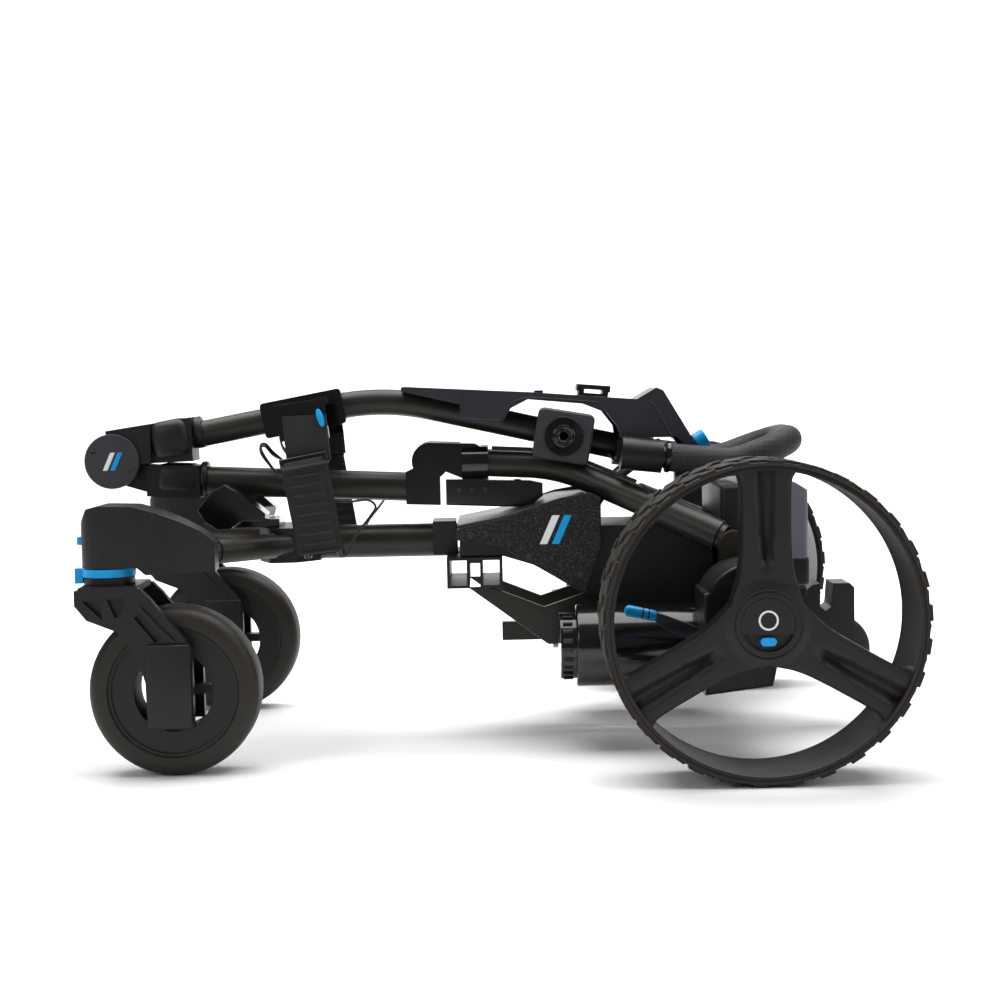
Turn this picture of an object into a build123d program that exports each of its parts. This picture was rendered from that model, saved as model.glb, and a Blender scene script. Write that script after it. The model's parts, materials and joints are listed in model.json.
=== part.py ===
from build123d import *
import math
import os

# Folded electric golf trolley with two driven rear wheels and two swivelling front casters.
# Millimetres. +X points to the rear, +Y to the right-hand side and +Z up. The origin lies on the
# ground, below the middle of the folded outline. Left-hand pieces lie at negative Y.

# Rear wheels
wheel_diameter = 305
wheel_width = 85
wheel_track = 503
axle_x = 265
tread_thickness = 6
rim_wall = 3
hub_radius = 31
hub_depth = 54
spoke_width = 46
spoke_depth = 24
spoke_inset = 3
axle_radius = 9
cap_radius = 25
cap_thickness = 3
cap_chord_drop = 9
release_length = 15
release_height = 8
release_travel = 3

# Front casters
caster_diameter = 168
caster_width = 48
caster_spacing = 345
caster_pivot_x = -366
caster_trail = 63
caster_rim_radius = 61
caster_rim_inner = 39
caster_hub_radius = 13
caster_axle_radius = 6
fork_gap = 3
fork_wall = 9
kingpin_radius = 8
fork_crown_radius = 25
fork_crown_top = 197
housing_radius = 26
housing_bottom = 207
housing_top = 268
spigot_radius = 14
lock_ring_height = 8

# Frame tubes
lower_tube_radius = 18
lower_tube_z = 211.5
leg_radius = 11
leg_sleeve_radius = 13
stay_radius = 14
stay_spread = 20
mast_radius = 15.75
handle_radius = 14
tube_wall = 2

# Folding joints: the mast turns on the arch bracket, the handle on the front hinge
mast_pivot_x = -52
mast_pivot_z = 298
hinge_x = -391
hinge_z = 304.6
hinge_radius = 29
hinge_pin_radius = 6
ear_gap = 0.3
mast_drop = 2.85
handle_rise = 10.2
handle_fall = 13

# Chassis, battery and drive
tub_half_width = 58
panel_half_width = 75
panel_thickness = 4
battery_front = 252
battery_back = 343
battery_half_width = 78
battery_bottom = 161
battery_top = 271
motor_radius = 42
motor_z = 108
motor_y = 102
motor_front = 96
gearbox_radius = 47
gearbox_inner = 122
gearbox_outer = 200
anti_tip_radius = 37
anti_tip_x = 385
anti_tip_z = 84

# Console and handle loop
console_half_width = 40
console_wall = 3
loop_half_width = 57
loop_radius = 12
grip_radius = 15
dial_radius = 10
dial_height = 13

# Upper bag cradle and its straps
cradle_x = -187
cradle_half_width = 92
strap_thickness = 4
pad_thickness = 9

# Clearances
fit_clearance = 0.1
slide_clearance = 0.3
turn_clearance = 1

# Values that follow from the dimensions above
wheel_radius = wheel_diameter / 2
wheel_mid = wheel_track / 2
wheel_outer = wheel_mid + wheel_width / 2
wheel_inner = wheel_mid - wheel_width / 2
rim_radius = wheel_radius - tread_thickness
rim_inner_radius = rim_radius - rim_wall
axle_z = wheel_radius
caster_radius = caster_diameter / 2
caster_y = caster_spacing / 2
caster_x = caster_pivot_x + caster_trail
fork_inner = caster_width / 2 + fork_gap
fork_outer = fork_inner + fork_wall


def slab(outline, near, far):
    """Side outline in X and Z, as thick as the stretch from near to far left of the middle."""
    with BuildPart() as piece:
        with BuildSketch(Plane.XZ.offset(near)):
            with BuildLine():
                Polyline(*outline, close=True)
            make_face()
        extrude(amount=far - near)
    return piece.part


def rod(x, z, radius, near, far):
    """Round bar across the trolley, from near to far left of the middle."""
    with BuildPart() as piece:
        with BuildSketch(Plane.XZ.offset(near)):
            with Locations((x, z)):
                Circle(radius)
        extrude(amount=far - near)
    return piece.part


def pole(x, y, radius, bottom, top):
    """Upright round bar."""
    with BuildPart() as piece:
        with BuildSketch(Plane.XY.offset(bottom)):
            with Locations((x, y)):
                Circle(radius)
        extrude(amount=top - bottom)
    return piece.part


def bar_between(start, end, radius):
    """Straight round bar from one point to another."""
    with BuildPart() as piece:
        with BuildSketch(Plane(origin=start, z_dir=Vector(*end) - Vector(*start))):
            Circle(radius)
        extrude(amount=(Vector(*end) - Vector(*start)).length)
    return piece.part


def bent_bar(points, bends, radius):
    """Solid round bar along straight runs that are joined by arcs."""
    with BuildPart() as piece:
        with BuildLine() as path:
            FilletPolyline(*points, radius=bends)
        with BuildSketch(Plane(origin=path.line @ 0, z_dir=path.line % 0)):
            Circle(radius)
        sweep(path=path.line)
    return piece.part


def bent_tube(points, bends, radius, wall):
    """Hollow tube along straight runs that are joined by arcs."""
    with BuildPart() as piece:
        with BuildLine() as path:
            FilletPolyline(*points, radius=bends)
        with BuildSketch(Plane(origin=path.line @ 0, z_dir=path.line % 0)):
            Circle(radius)
            Circle(radius - wall, mode=Mode.SUBTRACT)
        sweep(path=path.line)
    return piece.part


def both_sides(piece):
    """The piece and its mirror image on the right-hand side, as two solids."""
    return Compound(children=[piece, mirror(piece, about=Plane.XZ)])


# ---- Front frame: main tube, yoke, legs and the two caster housings ----
lower_tube_front = -205
lower_tube_back = -25
yoke_front = -238
yoke_half_width = 44
leg_start = (-205, -40, 213)
leg_end = (-338, -caster_y + 8, 213)

with BuildPart() as lower_tube:
    with BuildSketch(Plane.YZ.offset(lower_tube_front)):
        with Locations((0, lower_tube_z)):
            Circle(lower_tube_radius)
            Circle(lower_tube_radius - tube_wall, mode=Mode.SUBTRACT)
    extrude(amount=lower_tube_back - lower_tube_front)

leg_line = Vector(*leg_end) - Vector(*leg_start)
sleeve_start = Vector(*leg_start) + leg_line * 0.1
sleeve_end = Vector(*leg_start) + leg_line * 0.5
leg_body = bar_between(leg_start, leg_end, leg_radius)

with BuildPart() as front_yoke:
    with BuildSketch(Plane.XY.offset(lower_tube_z - lower_tube_radius)):
        with BuildLine():
            Polyline(
                (yoke_front, -14), (yoke_front + 14, -yoke_half_width), (-196, -yoke_half_width),
                (-172, -lower_tube_radius - 2), (-172, lower_tube_radius + 2), (-196, yoke_half_width),
                (yoke_front + 14, yoke_half_width), (yoke_front, 14), close=True,
            )
        make_face()
    extrude(amount=2 * lower_tube_radius + 1)
    fillet(front_yoke.edges().filter_by(Axis.Z), 6)
    add(bar_between((lower_tube_front, 0, lower_tube_z), (-160, 0, lower_tube_z), lower_tube_radius),
        mode=Mode.SUBTRACT)
    add(leg_body, mode=Mode.SUBTRACT)
    add(mirror(leg_body, about=Plane.XZ), mode=Mode.SUBTRACT)

with BuildPart() as leg_sleeve:
    add(bar_between(sleeve_start, sleeve_end, leg_sleeve_radius))
    add(leg_body, mode=Mode.SUBTRACT)
    add(front_yoke.part, mode=Mode.SUBTRACT)

housing_outline = [
    (caster_pivot_x - 25, housing_bottom), (caster_pivot_x - 25, 250), (caster_pivot_x - 17, 265),
    (caster_pivot_x - 4, housing_top), (caster_pivot_x + 28, housing_top - 1), (-314, 260), (-292, 250),
    (-274, 240), (-262, 229), (-262, 200), (-326, 200), (-334, housing_bottom),
]
with BuildPart() as caster_housing:
    with BuildSketch(Plane.XZ.offset(caster_y - housing_radius)):
        with BuildLine():
            Polyline(*housing_outline, close=True)
        make_face()
    extrude(amount=2 * housing_radius)
    with BuildSketch(Plane.XY.offset(housing_bottom - 10)):
        with BuildLine():
            nose = ThreePointArc(
                (caster_pivot_x, -caster_y + housing_radius), (caster_pivot_x - housing_radius, -caster_y),
                (caster_pivot_x, -caster_y - housing_radius),
            )
            Polyline(
                nose @ 1, (-310, -caster_y - housing_radius + 3), (-262, -caster_y + 2),
                (-262, -caster_y + housing_radius + 14), (-310, -caster_y + housing_radius), nose @ 0,
            )
        make_face()
    extrude(amount=housing_top - housing_bottom + 20, mode=Mode.INTERSECT)
    fillet(caster_housing.edges().group_by(Axis.Z)[-1], 3)
    add(pole(caster_pivot_x, -caster_y, spigot_radius, fork_crown_top + turn_clearance, housing_bottom))
    add(pole(caster_pivot_x, -caster_y, kingpin_radius + fit_clearance, 190, 253), mode=Mode.SUBTRACT)
    with BuildSketch(Plane.YZ.offset(caster_pivot_x - 40)):
        with Locations((-caster_y, 233)):
            Rectangle(10 + 2 * slide_clearance, 8 + 2 * slide_clearance)
    extrude(amount=40 - 25 + 10, mode=Mode.SUBTRACT)
    add(leg_body, mode=Mode.SUBTRACT)

with BuildPart() as leg:
    add(leg_body)
    add(pole(caster_pivot_x, -caster_y, kingpin_radius + 4, 190, 260), mode=Mode.SUBTRACT)

# ---- Lower bag cradle: a saddle on the yoke with two raised wings ----
cradle_seat = lower_tube_z + lower_tube_radius + 1
wing_outline = [(-296, 253), (-281, 272), (-267, 279), (-247, 267), (-225, 248), (-226, 240),
                (-250, 241), (-262, cradle_seat + 2), (-276, 232), (-289, 241)]
wing_half_width = 64
with BuildPart() as bag_cradle_lower:
    with BuildSketch(Plane.XZ.offset(-wing_half_width)):
        with BuildLine():
            Polyline(*wing_outline, close=True)
        make_face()
    extrude(amount=2 * wing_half_width)
    with BuildSketch(Plane.YZ.offset(-310)):
        with BuildLine():
            Polyline((-46, 300), (-30, 250), (-17, 238), (17, 238), (30, 250), (46, 300), close=True)
        make_face()
    extrude(amount=110, mode=Mode.SUBTRACT)
    with BuildSketch(Plane.XY.offset(cradle_seat)):
        with Locations((-243, 0)):
            Rectangle(56, 54)
    extrude(amount=9)

# ---- Front bracket with the two open cross channels ----
channel_half_length = 62
channel_wall = 3
channel_bottom = 164.5
channel_top = 197
with BuildPart() as front_bracket:
    with BuildSketch(Plane.XZ.offset(-24)):
        with BuildLine():
            Polyline((-51, channel_top), (-51, 233), (-26, 233), (-26, channel_top), close=True)
        make_face()
    extrude(amount=48)
    with BuildSketch(Plane.XZ.offset(-channel_half_length)):
        with Locations((-24, (channel_bottom + channel_top) / 2), (11, (channel_bottom + channel_top) / 2)):
            Rectangle(24, channel_top - channel_bottom)
        with Locations((-6, channel_top - 3)):
            Rectangle(30, 6)
        with Locations((-24, (channel_bottom + channel_top) / 2), (11, (channel_bottom + channel_top) / 2)):
            Rectangle(24 - 2 * channel_wall, channel_top - channel_bottom - 2 * channel_wall, mode=Mode.SUBTRACT)
    extrude(amount=2 * channel_half_length)
    add(bar_between((-60, 0, lower_tube_z), (-20, 0, lower_tube_z), lower_tube_radius), mode=Mode.SUBTRACT)

# ---- Chassis: tub, sloping cover and side panels ----
tub_top = 228
tub_outline = [(-22, channel_top + 0.5), (-22, tub_top), (battery_front - 6, tub_top), (battery_front - 6, 158),
               (222, 128), (150, 128), (109, 156), (60, 186), (24, channel_top + 0.5)]
with BuildPart() as chassis_tub:
    with BuildSketch(Plane.XZ.offset(-tub_half_width)):
        with BuildLine():
            Polyline(*tub_outline, close=True)
        make_face()
    extrude(amount=2 * tub_half_width)
    fillet(chassis_tub.edges().filter_by(Axis.Y), 2)
    with BuildSketch(Plane.XZ.offset(-tub_half_width + 4)):
        with BuildLine():
            Polyline((30, 202), (30, tub_top - 4), (battery_front - 12, tub_top - 4), (battery_front - 12, 162),
                     (218, 134), (152, 134), (112, 161), (63, 191), close=True)
        make_face()
    extrude(amount=2 * tub_half_width - 8, mode=Mode.SUBTRACT)

cover_outline = [(-24, tub_top + 0.2), (-24, 232), (20, 240), (52, 249), (84, 257), (112, 259),
                 (127, 252), (127, tub_top + 0.2)]
with BuildPart() as chassis_cover:
    with BuildSketch(Plane.XZ.offset(-panel_half_width + panel_thickness)):
        with BuildLine():
            Polyline(*cover_outline, close=True)
        make_face()
    extrude(amount=2 * (panel_half_width - panel_thickness))
    with BuildSketch(Plane.XZ.offset(-panel_half_width + panel_thickness + 3)):
        with BuildLine():
            Polyline((22, tub_top), (22, 236.5), (52, 245.5), (84, 253), (111, 255), (123, 249.5),
                     (123, tub_top), close=True)
        make_face()
    extrude(amount=2 * (panel_half_width - panel_thickness - 3), mode=Mode.SUBTRACT)

panel_outline = [(-27, 217), (-25, 228), (20, 238), (52, 249), (84, 259), (115, 264), (126, 259),
                 (126, 209), (109, 157), (61, 186), (20, 209), (-1, 213)]
side_panel = slab(panel_outline, panel_half_width - panel_thickness, panel_half_width)

# ---- Stays: two bent tubes from the arch bracket to the gearboxes ----
stay_points = [(-16, -stay_spread, 295.5), (85, -stay_spread, 290), (252, -103, 216)]
stay_bend = 120
stay_tube = bent_tube(stay_points, stay_bend, stay_radius, tube_wall)
stay_solid = bent_bar(stay_points, stay_bend, stay_radius)
stay_line = Vector(*stay_points[2]) - Vector(*stay_points[1])
sleeve_top = Vector(*stay_points[1]) + stay_line * 0.55
sleeve_foot = Vector(*stay_points[1]) + stay_line * 0.97
with BuildPart() as stay_sleeve:
    add(bar_between(sleeve_top, sleeve_foot, stay_radius + 2.5))
    add(bar_between(sleeve_top, sleeve_foot, stay_radius), mode=Mode.SUBTRACT)

# ---- Arch bracket, hinge pin of the mast and the latch box below it ----
ear_radius = 20
mast_block_half = 17.5
ear_inner = mast_block_half + ear_gap
ear_outer = ear_inner + 8
arch_front = -18
arch_back = 10
with BuildPart() as arch_bracket:
    with BuildSketch(Plane.XZ.offset(-ear_outer)):
        with BuildLine():
            Polyline((-54, 318), (-4, 316), (arch_back, 308), (arch_back, 279), (arch_front, 279),
                     (-40, 288), (-54, 288), close=True)
        make_face()
        with Locations((mast_pivot_x, mast_pivot_z)):
            Circle(ear_radius)
    extrude(amount=2 * ear_outer)
    with BuildSketch(Plane.XZ.offset(-ear_inner)):
        with Locations((mast_pivot_x, mast_pivot_z)):
            Rectangle(2 * (arch_front - mast_pivot_x - 2), 90)
    extrude(amount=2 * ear_inner, mode=Mode.SUBTRACT)
    with BuildSketch(Plane.YZ.offset(arch_front)):
        with Locations((-stay_spread, 295), (stay_spread, 295)):
            Circle(stay_radius + 4)
    extrude(amount=arch_back - arch_front)
    add(stay_solid, mode=Mode.SUBTRACT)
    add(mirror(stay_solid, about=Plane.XZ), mode=Mode.SUBTRACT)
    add(rod(mast_pivot_x, mast_pivot_z, hinge_pin_radius, -ear_outer, ear_outer), mode=Mode.SUBTRACT)
mast_pin = rod(mast_pivot_x, mast_pivot_z, hinge_pin_radius, -ear_outer - 1, ear_outer + 1)

latch_front = -36
latch_back = 68
latch_top = 278
with BuildPart() as latch_box:
    with BuildSketch(Plane.XZ.offset(-22)):
        with BuildLine():
            Polyline((latch_front, 250), (latch_front, latch_top), (55, latch_top - 3), (latch_back, 272),
                     (latch_back, 258), (52, 247), (30, 247), close=True)
        make_face()
    extrude(amount=44)
    fillet(latch_box.edges().filter_by(Axis.X), 2)
    add(rod(41, 268, 9, 22, 25))
    add(stay_solid, mode=Mode.SUBTRACT)
    add(mirror(stay_solid, about=Plane.XZ), mode=Mode.SUBTRACT)
    add(chassis_cover.part, mode=Mode.SUBTRACT)
    add(arch_bracket.part, mode=Mode.SUBTRACT)

# ---- Rear frame: cross beam, battery tray, gearboxes, motors and struts ----
tray_floor = battery_bottom - slide_clearance
with BuildPart() as rear_frame:
    with BuildSketch(Plane.XZ.offset(-gearbox_inner)):
        with BuildLine():
            Polyline((226, 130), (250, 156.5), (300, 156.5), (300, 122), (240, 122), close=True)
        make_face()
    extrude(amount=2 * gearbox_inner)
    with BuildSketch(Plane.XZ.offset(-battery_half_width - 3)):
        with BuildLine():
            Polyline((248, 150), (248, tray_floor), (battery_back - 3, tray_floor), (battery_back - 3, 150),
                     close=True)
        make_face()
    extrude(amount=2 * battery_half_width + 6)
    add(chassis_tub.part, mode=Mode.SUBTRACT)

gearbox_front = axle_x - gearbox_radius
with BuildPart() as gearbox:
    with BuildSketch(Plane.XZ.offset(gearbox_inner)):
        with Locations((axle_x, axle_z)):
            Circle(gearbox_radius)
        with BuildLine():
            Polyline((gearbox_front, motor_z - 38), (gearbox_front, 170), (axle_x, 190), (axle_x + 35, 150),
                     (axle_x + 20, motor_z - 30), close=True)
        make_face()
    extrude(amount=gearbox_outer - gearbox_inner)
    fillet(gearbox.edges().group_by(Axis.Y)[0], 4)
    add(rod(axle_x, axle_z, axle_radius + fit_clearance, gearbox_inner - 1, gearbox_outer + 1),
        mode=Mode.SUBTRACT)

with BuildPart() as stay_knuckle:
    with BuildSketch(Plane.XZ.offset(94)):
        with Locations((258, 210)):
            Circle(15)
        with BuildLine():
            Polyline((246, 157), (246, 206), (272, 206), (280, 157), close=True)
        make_face()
    extrude(amount=gearbox_inner + 4 - 94)
    add(stay_solid, mode=Mode.SUBTRACT)
    add(stay_sleeve.part, mode=Mode.SUBTRACT)
    add(gearbox.part, mode=Mode.SUBTRACT)
    add(rear_frame.part, mode=Mode.SUBTRACT)

with BuildPart() as motor:
    with BuildSketch(Plane.YZ.offset(motor_front)):
        with Locations((-motor_y, motor_z)):
            Circle(motor_radius)
    extrude(amount=gearbox_front - motor_front)
    fillet(motor.edges().group_by(Axis.X)[0], 3)
    with BuildSketch(Plane.YZ.offset(motor_front)):
        with Locations((-motor_y, motor_z)):
            Circle(motor_radius - 8)
    extrude(amount=-16)
    with BuildSketch(Plane.YZ.offset(motor_front - 12)):
        with Locations((-motor_y, motor_z)):
            with PolarLocations(motor_radius - 14, 10):
                Circle(3)
    extrude(amount=-6, mode=Mode.SUBTRACT)
    add(chassis_tub.part, mode=Mode.SUBTRACT)

strut_outline = [(-14, channel_bottom), (10, channel_bottom), (66, 142), (109, 156), (150, 128), (118, 106), (70, 102)]
strut = slab(strut_outline, 46, 54)
support_bar = slab([(22, 91), (22, 112), (80, 112), (80, 91)], 54, 66)

with BuildPart() as rear_bracket:
    with BuildSketch(Plane.XZ.offset(-21)):
        with BuildLine():
            Polyline((300.2, 128), (300.2, 149.5), (350, 149.5), (358, 156), (366, 157), (366, 132),
                     (372, 127), (378, 132), (380, 157), (398, 157), (403, 152), (403, 96), (396, 74),
                     (376, 74), (368, 100), (345, 126), close=True)
        make_face()
    extrude(amount=42)
    with BuildSketch(Plane.XZ.offset(-15)):
        with Locations((anti_tip_x, anti_tip_z)):
            Circle(anti_tip_radius + 3)
    extrude(amount=30, mode=Mode.SUBTRACT)
    add(rod(anti_tip_x, anti_tip_z, 5, -21, 21))

with BuildPart() as anti_tip_wheel:
    with BuildSketch(Plane.XZ.offset(-13)):
        with Locations((anti_tip_x, anti_tip_z)):
            Circle(anti_tip_radius)
            Circle(5 + fit_clearance, mode=Mode.SUBTRACT)
            with PolarLocations(19, 5):
                Circle(6, mode=Mode.SUBTRACT)
    extrude(amount=26)
    fillet(anti_tip_wheel.edges().filter_by(GeomType.CIRCLE).group_by(SortBy.RADIUS)[-1], 5)

# ---- Battery: a case that slides rearward off its tray ----
with BuildPart() as battery_case:
    with BuildSketch(Plane.XZ.offset(-battery_half_width)):
        with BuildLine():
            Polyline((battery_front, battery_bottom), (battery_front, battery_top - 8),
                     (battery_front + 30, battery_top), (battery_back - 14, battery_top),
                     (battery_back, battery_top - 9), (battery_back, battery_bottom), close=True)
        make_face()
    extrude(amount=2 * battery_half_width)
    fillet(battery_case.edges().filter_by(Axis.Z), 5)
    with BuildSketch(Plane.YZ.offset(battery_back)):
        with Locations((0, 225)):
            SlotOverall(90, 24)
    extrude(amount=-12, mode=Mode.SUBTRACT)

# ---- Rear wheels: barrel rim with three grooved spokes, tyre, cap, button and drive axle ----
spoke_face = wheel_outer - spoke_inset
hub_back = wheel_outer - 2 - hub_depth
with BuildPart() as rim:
    with BuildSketch(Plane.XZ.offset(wheel_inner + 1)):
        with Locations((axle_x, axle_z)):
            Circle(rim_radius)
            Circle(rim_inner_radius, mode=Mode.SUBTRACT)
    extrude(amount=wheel_width - 2)
    with BuildSketch(Plane.XZ.offset(spoke_face - spoke_depth)):
        with Locations((axle_x, axle_z)):
            with PolarLocations(rim_inner_radius / 2, 3, start_angle=90):
                Rectangle(rim_inner_radius + 1, spoke_width)
    extrude(amount=spoke_depth)
    with BuildSketch(Plane.XZ.offset(hub_back)):
        with Locations((axle_x, axle_z)):
            Circle(hub_radius + 4)
    extrude(amount=hub_depth, taper=2)
    with BuildSketch(Plane.XZ.offset(spoke_face + 1)):
        with Locations((axle_x, axle_z)):
            with PolarLocations((hub_radius + rim_inner_radius) / 2 + 2, 3, start_angle=90):
                SlotOverall(rim_inner_radius - hub_radius - 16, 9)
    extrude(amount=-13, mode=Mode.SUBTRACT)
    with BuildSketch(Plane.XZ.offset(wheel_outer - 2 - cap_thickness)):
        with Locations((axle_x, axle_z)):
            Circle(cap_radius + 0.2)
    extrude(amount=cap_thickness + 2, mode=Mode.SUBTRACT)
    with BuildSketch(Plane.XZ.offset(wheel_outer - 20)):
        with Locations((axle_x, axle_z - cap_chord_drop - 7)):
            SlotOverall(release_length + 2 * slide_clearance, release_height + 2 * slide_clearance)
    extrude(amount=22, mode=Mode.SUBTRACT)
    with BuildSketch(Plane.XZ.offset(hub_back - 1)):
        with Locations((axle_x, axle_z)):
            Circle(axle_radius)
    extrude(amount=28, mode=Mode.SUBTRACT)

with BuildPart() as tyre:
    with BuildSketch(Plane.XZ.offset(wheel_inner)):
        with Locations((axle_x, axle_z)):
            Circle(wheel_radius)
            Circle(rim_radius, mode=Mode.SUBTRACT)
    extrude(amount=wheel_width)
    fillet(tyre.edges().filter_by(GeomType.CIRCLE).group_by(SortBy.RADIUS)[-1], 3)

with BuildPart() as hub_cap:
    with BuildSketch(Plane.XZ.offset(wheel_outer - 2 - cap_thickness)):
        with Locations((axle_x, axle_z)):
            Circle(cap_radius)
        with Locations((axle_x, axle_z - cap_chord_drop - cap_radius)):
            Rectangle(2 * cap_radius, 2 * cap_radius, mode=Mode.SUBTRACT)
    extrude(amount=cap_thickness + 1)

with BuildPart() as release_button:
    with BuildSketch(Plane.XZ.offset(wheel_outer - 20 + release_travel + 0.5)):
        with Locations((axle_x, axle_z - cap_chord_drop - 7)):
            SlotOverall(release_length, release_height)
    extrude(amount=20 - release_travel - 1)

drive_axle = rod(axle_x, axle_z, axle_radius, gearbox_inner + 6, hub_back + 26)

# ---- Casters: fork with kingpin, spoked rim, tyre, lock ring and lock button ----
arm_outline = [
    (caster_pivot_x - 23, 190), (caster_pivot_x - 27, 172), (caster_pivot_x - 16, 158), (-352, 146),
    (-341, 131), (-332, 114), (-327, 96), (-326, 50), (-281, 50), (-281, 125), (-288, 139), (-306, 160),
    (-320, 178), (-330, 188),
]
with BuildPart() as caster_fork:
    for near in (caster_y - fork_outer, caster_y + fork_inner):
        with BuildSketch(Plane.XZ.offset(near)):
            with BuildLine():
                Polyline(*arm_outline, close=True)
            make_face()
        extrude(amount=fork_wall)
    with BuildSketch(Plane.XZ.offset(caster_y - fork_outer)):
        with BuildLine():
            Polyline((caster_pivot_x - 23, 190), (caster_pivot_x - 26, 176), (-340, 176), (-330, 186),
                     (-334, 190), close=True)
        make_face()
    extrude(amount=2 * fork_outer)
    with BuildSketch(Plane.XZ.offset(caster_y + fork_inner + 4)):
        with BuildLine():
            Polyline((-386, 177), (-369, 177), (-366, 158), close=True)
        make_face()
        with BuildLine():
            Polyline((-362, 178), (-344, 180), (-347, 166), (-354, 160), close=True)
        make_face()
        with BuildLine():
            Polyline((-336, 160), (-330, 164), (-310, 141), (-316, 135), close=True)
        make_face()
    extrude(amount=fork_wall, mode=Mode.SUBTRACT)
    add(rod(caster_x, caster_radius, 18, caster_y + fork_outer, caster_y + fork_outer + 3))
    with BuildSketch(Plane.XY.offset(176)):
        with Locations((caster_pivot_x, -caster_y)):
            Circle(fork_crown_radius)
    extrude(amount=fork_crown_top - 176)
    add(pole(caster_pivot_x, -caster_y, kingpin_radius, 190, 250))
    add(rod(caster_x, caster_radius, caster_axle_radius, caster_y - fork_outer, caster_y + fork_outer))
    add(slab([(caster_pivot_x - 34, 168), (caster_pivot_x - 34, 184), (caster_pivot_x - 20, 184),
              (caster_pivot_x - 20, 168)], caster_y - 9, caster_y + 9))

with BuildPart() as caster_rim:
    with BuildSketch(Plane.XZ.offset(caster_y - caster_width / 2 + 4)):
        with Locations((caster_x, caster_radius)):
            Circle(caster_rim_radius)
            Circle(caster_rim_inner, mode=Mode.SUBTRACT)
    extrude(amount=caster_width - 8)
    with BuildSketch(Plane.XZ.offset(caster_y - 8)):
        with Locations((caster_x, caster_radius)):
            with PolarLocations(caster_rim_inner / 2, 5):
                Rectangle(caster_rim_inner + 2, 9)
    extrude(amount=16)
    with BuildSketch(Plane.XZ.offset(caster_y - caster_width / 2)):
        with Locations((caster_x, caster_radius)):
            Circle(caster_hub_radius)
    extrude(amount=caster_width)
    add(rod(caster_x, caster_radius, caster_axle_radius + fit_clearance, caster_y - 40, caster_y + 40),
        mode=Mode.SUBTRACT)

with BuildPart() as caster_tyre:
    with BuildSketch(Plane.XZ.offset(caster_y - caster_width / 2)):
        with Locations((caster_x, caster_radius)):
            Circle(caster_radius)
            Circle(caster_rim_radius, mode=Mode.SUBTRACT)
    extrude(amount=caster_width)
    fillet(caster_tyre.edges().filter_by(GeomType.CIRCLE).group_by(SortBy.RADIUS)[-1], 13)

ring_bottom = fork_crown_top + turn_clearance
with BuildPart() as lock_ring:
    with BuildSketch(Plane.XY.offset(ring_bottom)):
        with Locations((caster_pivot_x, -caster_y)):
            Circle(housing_radius)
            Circle(spigot_radius + slide_clearance, mode=Mode.SUBTRACT)
    extrude(amount=lock_ring_height)
    with BuildSketch(Plane.XY.offset(ring_bottom - 7)):
        with Locations((caster_pivot_x - housing_radius - 3, -caster_y)):
            Rectangle(8, 12)
    extrude(amount=lock_ring_height + 7)
    add(pole(caster_pivot_x, -caster_y, fork_crown_radius + 0.6, 180, ring_bottom), mode=Mode.SUBTRACT)

with BuildPart() as lock_button:
    with BuildSketch(Plane.YZ.offset(caster_pivot_x - 25 - 5)):
        with Locations((-caster_y, 233)):
            Rectangle(10, 8)
    extrude(amount=11)

# ---- Lower mast: tube, block with its knuckle and the fixed half of the front hinge ----
def mast_axis(x):
    return 283.1 - math.tan(math.radians(mast_drop)) * (x + 345)


mast_front = -352
mast_back = -46
mast_body = bar_between((mast_front, 0, mast_axis(mast_front)), (mast_back, 0, mast_axis(mast_back)),
                        mast_radius)
with BuildPart() as mast_tube:
    with BuildSketch(Plane(origin=(mast_front, 0, mast_axis(mast_front)),
                           z_dir=(1, 0, -math.tan(math.radians(mast_drop))))):
        Circle(mast_radius)
        Circle(mast_radius - tube_wall, mode=Mode.SUBTRACT)
    extrude(amount=(mast_back - mast_front) / math.cos(math.radians(mast_drop)))

with BuildPart() as mast_block:
    with BuildSketch(Plane.XZ.offset(-mast_block_half)):
        with BuildLine():
            Polyline((-79, 251.5), (-79, 286.5), (mast_pivot_x - 15, 292), (mast_pivot_x + 10, 292),
                     (-42, 250), close=True)
        make_face()
        with Locations((mast_pivot_x, mast_pivot_z)):
            Circle(16)
    extrude(amount=2 * mast_block_half)
    add(mast_body, mode=Mode.SUBTRACT)
    add(rod(mast_pivot_x, mast_pivot_z, hinge_pin_radius + fit_clearance, -40, 40), mode=Mode.SUBTRACT)

knuckle_half = 14
with BuildPart() as lower_hinge_socket:
    with BuildSketch(Plane.XZ.offset(-knuckle_half + ear_gap)):
        with Locations((hinge_x, hinge_z)):
            Circle(hinge_radius - 3)
        with BuildLine():
            Polyline((hinge_x, hinge_z), (-350, 299), (-350, 268), (hinge_x + 5, hinge_z - 25.5), close=True)
        make_face()
    extrude(amount=2 * (knuckle_half - ear_gap))
    with BuildSketch(Plane.XZ.offset(-20)):
        with BuildLine():
            Polyline((-357, 299), (-300, 298), (-300, 263), (-357, 266), close=True)
        make_face()
    extrude(amount=40)
    add(mast_body, mode=Mode.SUBTRACT)
    add(rod(hinge_x, hinge_z, hinge_pin_radius + fit_clearance, -40, 40), mode=Mode.SUBTRACT)

# ---- Upper mast: handle tube and the moving half of the front hinge ----
rise = math.tan(math.radians(handle_rise))
fall = math.tan(math.radians(handle_fall))
tube_start = (-352, 0, 322)
bend_x = -101.7
bend_z = tube_start[2] + rise * (bend_x - tube_start[0])
tube_end_x = 165


def handle_axis(x):
    if x < bend_x:
        return bend_z - rise * (bend_x - x)
    return bend_z - fall * (x - bend_x)


handle_points = [tube_start, (bend_x, 0, bend_z), (tube_end_x, 0, handle_axis(tube_end_x))]
handle_bend = 250
handle_tube = bent_tube(handle_points, handle_bend, handle_radius, tube_wall)
handle_solid = bent_bar(handle_points, handle_bend, handle_radius)

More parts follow.
